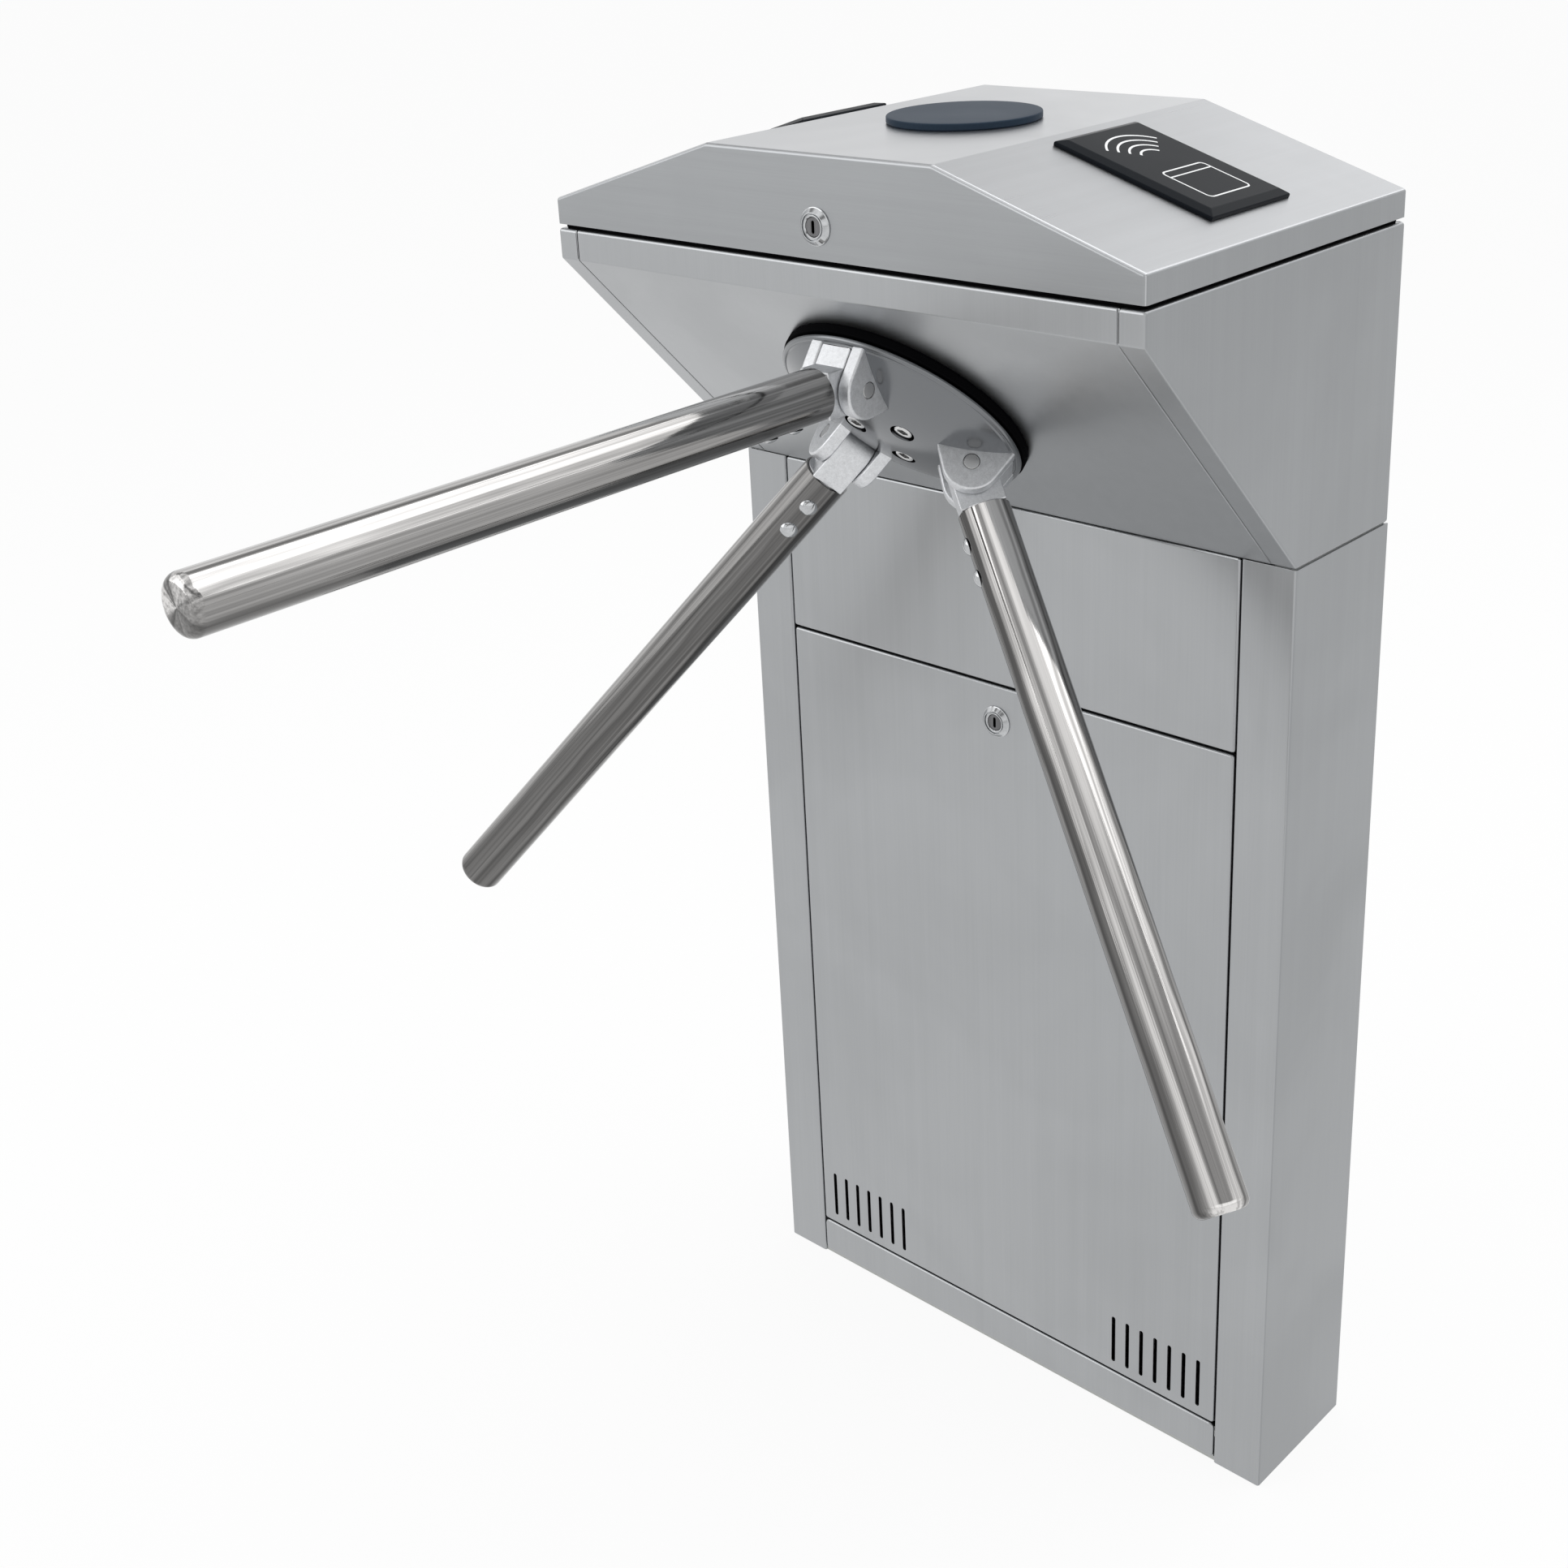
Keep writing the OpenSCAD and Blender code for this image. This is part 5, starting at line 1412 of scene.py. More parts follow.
@dataclass
class Lid:
    """The lid: its shell, rubber strip, black disc, reader windows and their print."""

    plan: Plan = PLAN
    fold: float = 2.3
    flange: float = 10.0
    flange_gap: float = 9.0
    strip_in: float = 3.0
    strip_w: float = 6.0
    strip_t: float = 2.7
    lock_z: float = 937.0
    lock_hole_r: float = 9.5
    disc_r: float = 49.5
    disc_h: float = 5.0
    window_len: float = 115.0
    window_w: float = 83.0
    window_h: float = 4.8
    window_bevel: float = 5.5
    window_down: float = 10.5
    print_t: float = 0.06
    arc_middle: float = -9.0
    arc_radii: tuple[float, ...] = (12, 19, 26, 33)
    arc_reach: float = 50.0
    arc_w: float = 1.5
    card: tuple[tuple[float, float], ...] = ((6, -21), (42, 21))
    card_w: float = 1.2
    stripe: tuple[tuple[float, float], ...] = ((13.0, 20.3), (13.0, -20.3))
    stripe_w: float = 1.1

    def wall(self, into: float, fold: float, steps: int = 6) -> Skin:
        """One face of the shell: the roof's line carried from front to back, its ends folded.

        With e = fold (1 - sin a) and f = fold (1 - cos a), ring a is the line taken in by
        into + e at f + into behind the front, and the same at the back.

        Args:
            into: distance inside the lid's outer face.
            fold: radius of the folds at this face.
            steps: rings in each fold.

        Returns:
            The face without its two gables, open below.
        """
        p = self.plan
        line = self.line()
        step = mitres(line, closed=False)
        a = np.linspace(0, np.pi / 2, steps)
        inset = into + fold * (1 - np.sin(a))
        deep = into + fold * (1 - np.cos(a))
        insets = np.concatenate([inset, inset[::-1]])
        ys = np.concatenate([p.head_front_y + deep, (p.back_y - deep)[::-1]])
        flat = line[None] + insets[:, None, None] * step[None]
        y = np.broadcast_to(ys[:, None, None], (len(ys), len(line), 1))
        points = np.concatenate([flat[..., :1], y, flat[..., 1:]], -1).reshape(-1, 3)
        return Skin(points, [grid_faces(len(ys), len(line), wrap_cols=False)])

    def line(self) -> np.ndarray:
        """The roof's outer line, from the right lip over the top to the left.

        Returns:
            Its points in (X, Z).
        """
        p = self.plan
        corners = [(p.side_x, p.lid_bottom), (p.side_x, p.eave_z), (p.ridge_half_w, p.roof_z),
                   (-p.ridge_half_w, p.roof_z), (-p.side_x, p.eave_z), (-p.side_x, p.lid_bottom)]
        return rounded(corners, [0, self.fold, 6, 6, self.fold, 0], 6, closed=False)

    def gable(self, ring: np.ndarray, hole: bool, front: bool) -> Skin:
        """Fills one end of the shell.

        Args:
            ring: the points of the end ring.
            hole: whether the lock passes through.
            front: whether it faces the front.

        Returns:
            The flat end.
        """
        outline = ring[:, [0, 2]]
        holes = [circle(self.lock_hole_r, 32, (0, self.lock_z))] if hole else []
        flat, triangles = filled(outline, holes)
        points = np.column_stack([flat[:, 0], np.full(len(flat), ring[0, 1]), flat[:, 1]])
        return Skin(points, [triangles if front else triangles[:, ::-1]])

    def shell(self) -> None:
        """The shell: an outer and an inner face, both gables, the lower rim and its flange."""
        p = self.plan
        outer, inner = self.wall(0.0, self.fold), self.wall(p.sheet, self.fold - p.sheet)
        cols = len(self.line())
        rings = len(outer.points) // cols
        parts = [Skin(outer.points, [f[:, ::-1] for f in outer.faces]), inner]
        grids = [skin.points.reshape(rings, cols, 3) for skin in (outer, inner)]
        for grid, out in zip(grids, (True, False)):
            parts.append(self.gable(grid[0], True, out))
            parts.append(self.gable(grid[-1], False, not out))
        rims = [np.concatenate([grid[:, 0], grid[::-1, -1]]) for grid in grids]
        parts.append(Skin(np.concatenate(rims), [grid_faces(2, 2 * rings)]))
        hole = circle(self.lock_hole_r, 32, (0, self.lock_z))
        tube = np.concatenate([
            np.column_stack([hole[:, 0], np.full(len(hole), y), hole[:, 1]])
            for y in (p.head_front_y, p.head_front_y + p.sheet)])
        parts.append(Skin(tube, [grid_faces(2, len(hole))]))
        z, t = p.lid_bottom, p.sheet
        x_in, front, back = p.inner_x, p.head_front_y + t, p.back_y - t
        x_end = x_in - self.flange_gap
        flanges = [
            box((p.side_x - self.flange, front, z), (x_in, back, z + t)).both_sides(),
            box((-x_end, front, z), (x_end, p.head_front_y + self.flange, z + t)),
            box((-x_end, p.back_y - self.flange, z), (x_end, back, z + t)),
        ]
        # The lid's top takes a lighter copy of the sheet, and its lips and gables darker ones:
        # painted light and painted shade by the way each face turns
        Piece("lid_shell_folded", joined(parts), SATIN_LID_PAINTED_LIGHT, "lid", ("lid_shell",), crease=30,
              added=joined(flanges), facing=((0, SATIN_FLANK_PAINTED_SHADE), (1, SATIN_GABLE_PAINTED_SHADE))).make()

    def strip(self) -> None:
        """The rubber strip that the lid lies over."""
        p = self.plan
        low = np.array([-p.side_x, p.head_front_y]) + self.strip_in
        high = np.array([p.side_x, p.back_y]) - self.strip_in
        hole = rounded(rectangle(low + self.strip_w, high - self.strip_w), 2, 6)
        strip = stack(rounded(rectangle(low, high), 4, 6),
                      eased(p.head_top, p.head_top + self.strip_t, 0.9, 4), [hole])
        Piece("lid_strip_moulded", strip, BLACK_RUBBER, "cabinet", ("lid_seal",)).make()
        dress(INNER_STEEL, "lid_keeper")

    def disc(self) -> None:
        """The black disc: a turned dome with a rounded rim on a slightly smaller foot."""
        p, r, h = self.plan, self.disc_r, self.disc_h
        rim = rounded([(6, -10), (6, 0), (r - 0.9, 0), (r - 0.9, 0.6), (r, 0.7), (r, h - 0.45),
                       (r - 3, h - 0.2)], [0.3, 0.3, 0.3, 0.2, 0.3, 0.9, 0.2], 6, closed=False)
        crown = np.linspace(r - 3, 0, 12)[1:]
        top = np.stack([crown, h - 0.2 * (crown / (r - 3)) ** 2], -1)
        turned = lathe(np.concatenate([[(0, -10)], rim, top]), 160)
        Piece("status_disc_turned", turned.placed(shift(0, p.fitting_mid_y, p.roof_z)),
              BLACK_PLASTIC_PAINTED_SHEEN, "lid", ("status_disc",)).make()

    def windows(self) -> None:
        """The reader windows, bevelled on all sides, with the plain print on them."""
        length, width = self.window_len, self.window_w
        low_x = self.window_down
        corners = rectangle((low_x, -width / 2), (low_x + length, width / 2))
        b, h = self.window_bevel, self.window_h
        plate = stack(np.array(corners), [(0, 0), (0, h / 2), (b, h)])
        place = self.plan.roof_frame()
        Piece("reader_windows_bevelled", plate.placed(place).both_sides(), BLACK_WINDOW, "lid",
              ("reader_windows",), bevel=0.5, crease=20).make()
        print_place = place @ shift(low_x + length / 2, 0, h - 0.02)
        Piece("reader_print", self.print_lines().placed(print_place).both_sides(), WHITE_PRINT,
              "lid").make()

    def ribbon(self, line: np.ndarray, width: float, closed: bool = False) -> Skin:
        """A thin printed line: two offsets of line, half a width to either side.

        Args:
            line: the points of its middle.
            width: its width.
            closed: whether the last point joins the first.

        Returns:
            The line, standing on z = 0.
        """
        side = mitres(line, closed) * width / 2
        if closed:
            outer, inner = line - side, line + side
            n = len(line)
            rows = [np.column_stack([c, np.full(n, z)]) for c, z in (
                (outer, 0), (outer, self.print_t), (inner, self.print_t), (inner, 0))]
            return Skin(np.concatenate(rows), [grid_faces(4, n, wrap_rows=True)])
        band = np.concatenate([line - side, (line + side)[::-1]])
        return stack(band, [(0, 0), (0, self.print_t)])

    def print_lines(self) -> Skin:
        """A plain design of this work's own: four arcs above a bare card with one stripe.

        Each arc is P(a) = (middle - r cos a, r sin a).

        Returns:
            The lines, standing on z = 0.
        """
        reach = math.radians(self.arc_reach)
        a = np.linspace(reach, -reach, 32)
        parts = [self.ribbon(np.stack([self.arc_middle - r * np.cos(a), r * np.sin(a)], -1),
                             self.arc_w) for r in self.arc_radii]
        parts.append(self.ribbon(rounded(rectangle(*self.card), 3.5, 6), self.card_w, closed=True))
        parts.append(self.ribbon(np.array(self.stripe), self.stripe_w))
        return joined(parts)

    def build(self) -> None:
        """Makes every piece of the lid."""
        self.shell()
        self.strip()
        self.disc()
        self.windows()
        dress(BOARD, "lid_boards")


@dataclass
class CamLock:
    """A cam lock: bezel, barrel and nut, and the plug with its key slot and cam."""

    label: str
    barrel_node: str
    plug_node: str
    body: str
    plug_body: str
    face_y: float
    height: float
    length: float
    cam_low: tuple[float, float]
    cam_high: tuple[float, float]
    bezel_r: float = 11.8
    bezel_t: float = 3.2
    barrel_r: float = 9.3
    plug_r: float = 6.0
    recess: float = 0.9
    slot_depth: float = 6.0
    slot_r: float = 1.2
    slot_reach: float = 2.8
    nut_r: float = 13.0
    nut_t: float = 4.0
    cam_t: float = 2.0

    def place(self) -> np.ndarray:
        """The lock's frame: +Z out of the sheet to the front, +Y up."""
        return shift(0, self.face_y, self.height) @ FACING_FRONT

    def barrel(self) -> None:
        """The bezel with its bevel and inner ring, the barrel and its nut."""
        r, t, bore = self.bezel_r, self.bezel_t, self.plug_r + 0.06
        corners = [(bore, -self.length), (self.barrel_r, -self.length), (self.barrel_r, 0),
                   (r, 0), (r, 0.7), (r - 0.6, 1.0), (8.9, t), (8.4, t), (8.1, t - 1.3),
                   (7.6, t - 1.3), (7.3, t - 0.25), (bore + 0.5, t - 0.25), (bore, t - 0.8)]
        radii = [0.2, 0.2, 0.2, 0.2, 0.2, 0.2, 0.2, 0.15, 0.1, 0.1, 0.2, 0.2, 0.1]
        turned = lathe(rounded(corners, radii, 4), 72, loop=True)
        layers = [(0.6, 0), (0.0, 0.5), (0.0, self.nut_t - 0.5), (0.6, self.nut_t)]
        nut = stack(hexagon(self.nut_r, 48), layers, [circle(self.barrel_r + 0.02, 48)])
        skin = joined([turned, nut.placed(shift(0, 0, -PLAN.sheet - self.nut_t))])
        Piece(self.label + "_bezel", skin.placed(self.place()), CHROME_SMALL, self.body,
              (self.barrel_node,), crease=25).make()

    def plug(self) -> None:
        """The plug with its key slot, and its cam behind."""
        top, floor = self.bezel_t - self.recess, self.bezel_t - self.slot_depth
        a = np.linspace(0, np.pi, 7)
        cap = np.stack([self.slot_r * np.cos(a), self.slot_reach + self.slot_r * np.sin(a)], -1)
        slot, disc = np.concatenate([cap, -cap]), circle(self.plug_r, 48)
        face = stack(disc, [(0.0, floor), (0.0, top - 0.35), (0.35, top)], [slot])
        back = -self.length - 0.2
        rear = stack(disc, eased(back - self.cam_t, floor + 0.01, 0.2, 3))
        cam = stack(rounded(rectangle(self.cam_low, self.cam_high), 5.5, 8),
                    eased(back - self.cam_t, back, 0.4, 3))
        Piece(self.label + "_plug", joined([face, rear, cam]).placed(self.place()), DARK_PLUG,
              self.plug_body, (self.plug_node,), crease=25).make()

    def build(self) -> None:
        """Makes the lock's two pieces."""
        self.barrel()
        self.plug()


@dataclass
class BackFittings:
    """What shows behind: the cabinet's screws and the lid's hinges."""

    plan: Plan = PLAN
    hinge_x: float = 150.0
    hinge_w: float = 60.0
    hinge_y: float = 60.3
    hinge_z: float = 915.5
    knuckle_r: float = 3.79
    pin_r: float = 2.0
    leaf_t: float = 1.2
    leaf_h: float = 26.0
    head_x: float = 20.0
    fixed_head_z: float = 898.0
    moving_head_z: float = 928.0
    screw_in: float = 11.0
    deck_screw_in: float = 7.5
    deck_screw_y: float = 22.0
    lowest_screw_z: float = 44.0
    screw_from_end: float = 40.0

    def screws(self) -> None:
        """The cabinet's screws: domed socket heads on their shanks."""
        p = self.plan
        head = socket_head(4.6, height=2.4, socket=1.7, depth=1.3, round_over=1.5, count=36)
        shank = lathe([(0, -7), (2.2, -7), (2.5, -6.6), (2.5, 0.1), (0, 0.1)], 24)
        screw = joined([head, shank])
        x, deck_x = p.inner_x - self.screw_in, p.inner_x - self.deck_screw_in
        end = self.screw_from_end
        heights = (self.lowest_screw_z, p.post_top / 2, p.post_top - end, p.deck_top + end,
                   p.head_top - end)
        places = [shift(side * x, p.back_y, z) @ FACING_BACK for side in (-1, 1) for z in heights]
        places += [shift(side * deck_x, y, p.deck_top + p.sheet)
                   for side in (-1, 1) for y in (-self.deck_screw_y, self.deck_screw_y)]
        Piece("cabinet_screws_domed", repeated(screw, places), BRIGHT_STEEL, "cabinet",
              ("cabinet_screws",)).make()

    def leaf(self, low: float, high: float, half: float) -> Skin:
        """One flat leaf on the cabinet's back, with rounded corners.

        Args:
            low: height of its lower edge.
            high: height of its upper edge.
            half: half its width.

        Returns:
            The leaf.
        """
        outline = rounded(rectangle((-half, low), (half, high)), 2.0, 5)
        plate = stack(outline, eased(0, self.leaf_t, 0.3, 3))
        return plate.placed(shift(0, self.plan.back_y, 0) @ FACING_BACK)

    def axis(self) -> np.ndarray:
        """The hinge's frame: +Z along its pin, to the right."""
        return shift(0, self.hinge_y, self.hinge_z) @ FACING_RIGHT

    def knuckle(self, start: float, end: float) -> Skin:
        """One knuckle of a hinge: a closed tube round the pin.

        Args:
            start: its left end along X.
            end: its right end.

        Returns:
            The knuckle.
        """
        ring = rounded(rectangle((self.pin_r + 0.05, start), (self.knuckle_r, end)), 0.35, 3)
        return lathe(ring, 32, loop=True).placed(self.axis())

    def hinges(self) -> None:
        """The fixed leaves with their pins, and the moving leaves."""
        p, half, middle = self.plan, self.hinge_w / 2, self.hinge_w / 6
        gap, web_y = self.knuckle_r + p.gap, p.back_y + self.leaf_t
        head = socket_head(3.4, height=1.1, socket=1.2, depth=0.7, round_over=0.8, count=24)
        r = self.pin_r
        pin = lathe([(0, -half), (r - 0.3, -half), (r, -half + 0.3), (r, half - 0.3),
                     (r - 0.3, half), (0, half)], 24)
        fixed = [self.leaf(p.head_top - self.leaf_h, self.hinge_z - gap, half),
                 box((-middle, p.back_y, self.hinge_z - gap - 0.5), (middle, web_y, self.hinge_z)),
                 self.knuckle(-middle, middle), pin.placed(self.axis())]
        moving = [self.leaf(self.hinge_z + gap, p.lid_bottom + self.leaf_h - 9, half)]
        for side in (-1, 1):
            ends = sorted((side * (middle + p.gap), side * half))
            moving.append(self.knuckle(*ends))
            moving.append(box((ends[0], p.back_y, self.hinge_z),
                              (ends[1], web_y, self.hinge_z + gap + 0.5)))
        for parts, z in ((fixed, self.fixed_head_z), (moving, self.moving_head_z)):
            parts += [head.placed(shift(x, web_y, z) @ FACING_BACK)
                      for x in (-self.head_x, self.head_x)]
        for label, parts, body, node in (
                ("hinge_leaves_fixed", fixed, "cabinet", "hinge_fixed_leaves"),
                ("hinge_leaves_moving", moving, "lid", "hinge_moving_leaves")):
            skin = joined(parts).placed(shift(self.hinge_x, 0, 0)).both_sides()
            Piece(label, skin, BRIGHT_STEEL, body, (node,)).make()

    def build(self) -> None:
        """Makes the screws and the hinges."""
        self.screws()
        self.hinges()


# ---------------------------------------------------------------- the hub and the arms


@dataclass
class Hub:
    """The trim ring and the domed hub with its ears, bolts and pins."""

    plan: Plan = PLAN
    ring_r: float = 86.0
    ring_bore_r: float = 37.0
    ring_t: float = 6.0
    under: float = 6.6
    hub_r: float = 85.0
    rim_t: float = 4.4
    dome_top: float = 30.0
    pivot_r: float = 59.0
    pivot_h: float = 27.0
    ear_r: float = 18.5
    ear_in: float = 12.0
    ear_out: float = 21.5
    knuckle_half_w: float = 15.0
    tube_start: float = 26.0
    bolt_circle_r: float = 22.6
    bolt_head_r: float = 6.5
    bolt_seat: float = 20.0
    bolt_room: float = 1.7
    bolt_r: float = 4.0
    bolt_reach: float = 20.9
    slack: float = 0.02
    pin_r: float = 5.0
    ear_fore: tuple[float, float] = (22.0, -15.0)
    ear_back: tuple[float, float] = (-25.0, -2.0)
    arm_count: int = 3

    def around(self, offset: float = 0.0) -> list[np.ndarray]:
        """The hub's frame turned to each arm, or midway between two arms.

        Args:
            offset: share of the step between arms that it is turned on by.

        Returns:
            The 4 x 4 matrices, one for each arm.
        """
        step = 360 / self.arm_count
        return [self.plan.hub_frame() @ turn(2, -(k + offset) * step)
                for k in range(self.arm_count)]

    def ring(self) -> None:
        """The black ring between the slope and the hub."""
        corners = [(self.ring_bore_r, 0), (self.ring_r - 0.6, 0), (self.ring_r - 0.6, 0.8),
                   (self.ring_r, 1.2), (self.ring_r, self.ring_t), (self.ring_bore_r, self.ring_t)]
        turned = lathe(rounded(corners, [0.3, 0.2, 0.2, 0.4, 0.8, 0.5], 5), 192, loop=True)
        Piece("trim_ring_moulded", turned.placed(self.plan.hub_frame()), BLACK_RUBBER, "cabinet",
              ("trim_ring",)).make()

    def ball_r(self) -> float:
        """Radius of the dome, which meets the top of the rim where the rim's round starts."""
        rise = self.dome_top - self.under - self.rim_t
        return ((self.hub_r - self.rim_t / 2) ** 2 + rise ** 2) / 2 / rise

    def dome_height(self, r: np.ndarray) -> np.ndarray:
        """Height of the dome at a distance r from the axis: top - R + sqrt(R^2 - r^2)."""
        return self.dome_top - self.ball_r() + np.sqrt(self.ball_r() ** 2 - np.square(r))

    def dome(self) -> Skin:
        """The dome: a sphere's cap over a half-round rim, turned about the hub's axis.

        Returns:
            The dome in the hub's frame.
        """
        base_r, mid = self.hub_r - self.rim_t / 2, self.under + self.rim_t / 2
        a = np.linspace(-np.pi / 2, np.pi / 2, 13)
        rim = np.stack([base_r + self.rim_t / 2 * np.cos(a), mid + self.rim_t / 2 * np.sin(a)], -1)
        lip = rim[-1] + [(-0.5, 0.0), (-0.9, -0.25), (-1.3, 0.0)]
        r = np.linspace(base_r - 1.9, 0, 30)
        cap = np.stack([r, self.dome_height(r)], -1)
        under = np.stack([np.linspace(0, base_r - 2, 6), np.full(6, self.under)], -1)
        return lathe(np.concatenate([under, rim, lip, cap]), 180)

    def pocket(self) -> Skin:
        """Room for one knuckle: a round bar about the pivot and a block along a dropped arm.

        Returns:
            The room in the frame of the hub turned to the arm.
        """
        room, wide = self.ear_in + self.slack, self.knuckle_half_w + 1.0
        lean = math.radians(90 - self.plan.slope)
        along = np.array([-math.sin(lean), math.cos(lean)])
        across = np.array([along[1], -along[0]])
        a = np.linspace(0, 2 * np.pi, 49)
        ends = [wide * 0.98 * side * across + self.tube_start * along for side in (1, -1)]
        bar = wide * np.stack([np.cos(a), np.sin(a)], -1)
        hull = convex(np.concatenate([bar, ends])) + (self.pivot_r, self.pivot_h)
        return stack(hull, [(0, -room), (0, room)]).placed(FACING_RIGHT)

    def carving(self) -> Skin:
        """Everything that is cut out of the dome: three pockets and three bolt seats.

        Returns:
            The rooms, in the part's own frame.
        """
        seat_r, top = self.bolt_head_r + self.bolt_room, self.dome_top + 5
        seat = lathe([(0, self.bolt_seat), (seat_r, self.bolt_seat), (seat_r, top), (0, top)], 48)
        seats = [place @ shift(0, self.bolt_circle_r, 0) for place in self.around(-0.5)]
        return joined([repeated(self.pocket(), self.around()), repeated(seat, seats)])

    def ear_outline(self) -> np.ndarray:
        """An ear's outline: its foot on the dome and its round end at the pivot.

        Returns:
            Its points in (Y, Z).
        """
        centre = np.array([self.pivot_r, self.pivot_h])
        back, fore = centre + self.ear_back, centre + self.ear_fore
        foot = self.under + self.rim_t / 2
        a = np.linspace(0, 2 * np.pi, 97)
        bar = centre + self.ear_r * np.stack([np.cos(a), np.sin(a)], -1)
        corners = [back, fore, (back[0], foot), (fore[0], foot)]
        high = bar[bar[:, 1] > self.pivot_h - self.ear_r * 0.9]
        return convex(np.concatenate([high, corners]))

    def ears(self) -> None:
        """The three pairs of ears: cast plates with rounded edges."""
        outline = self.ear_outline()
        groove = circle(self.pin_r + 0.35, 48, (self.pivot_r, self.pivot_h))
        ear = stack(outline, eased(self.ear_in + self.slack, self.ear_out, 1.5, 6), [groove])
        ear = ear.placed(FACING_RIGHT)
        Piece("hub_ears_cast", repeated(ear.both_sides(), self.around()), CAST_EAR, "rotor",
              crease=28).make()

    def bolts(self) -> None:
        """The three bolts in their recesses."""
        head = socket_head(self.bolt_head_r, height=8.0, socket=3.9, depth=5.5, round_over=1.1)
        r, reach = self.bolt_r, self.bolt_reach
        shank = lathe([(0, -reach), (r, -reach), (r, 0.2), (0, 0.2)], 32)
        bolt = joined([head, shank]).placed(shift(0, self.bolt_circle_r, self.bolt_seat))
        Piece("hub_bolts_socket", repeated(bolt, self.around(-0.5)), BRIGHT_STEEL, "rotor",
              ("hub_bolts",), crease=25).make()

    def pins(self) -> None:
        """The pivot pins, their ends just proud of the ears."""
        half, r = self.ear_out - 0.1, self.pin_r
        line = rounded([(0, -half), (r, -half), (r, half), (0, half)], 0.35, 4, closed=False)
        pin = lathe(line, 48).placed(shift(0, self.pivot_r, self.pivot_h) @ FACING_RIGHT)
        Piece("pivot_pins_turned", repeated(pin, self.around()), BRIGHT_STEEL, "rotor",
              ("pivot_pins",)).make()

    def build(self) -> None:
        """Makes every piece of the hub."""
        self.ring()
        Piece("hub_dome_cast", self.dome().placed(self.plan.hub_frame()), CAST_DOME, "rotor",
              ("hub",), crease=28, carve=self.carving()).make()
        self.ears()
        self.bolts()
        self.pins()


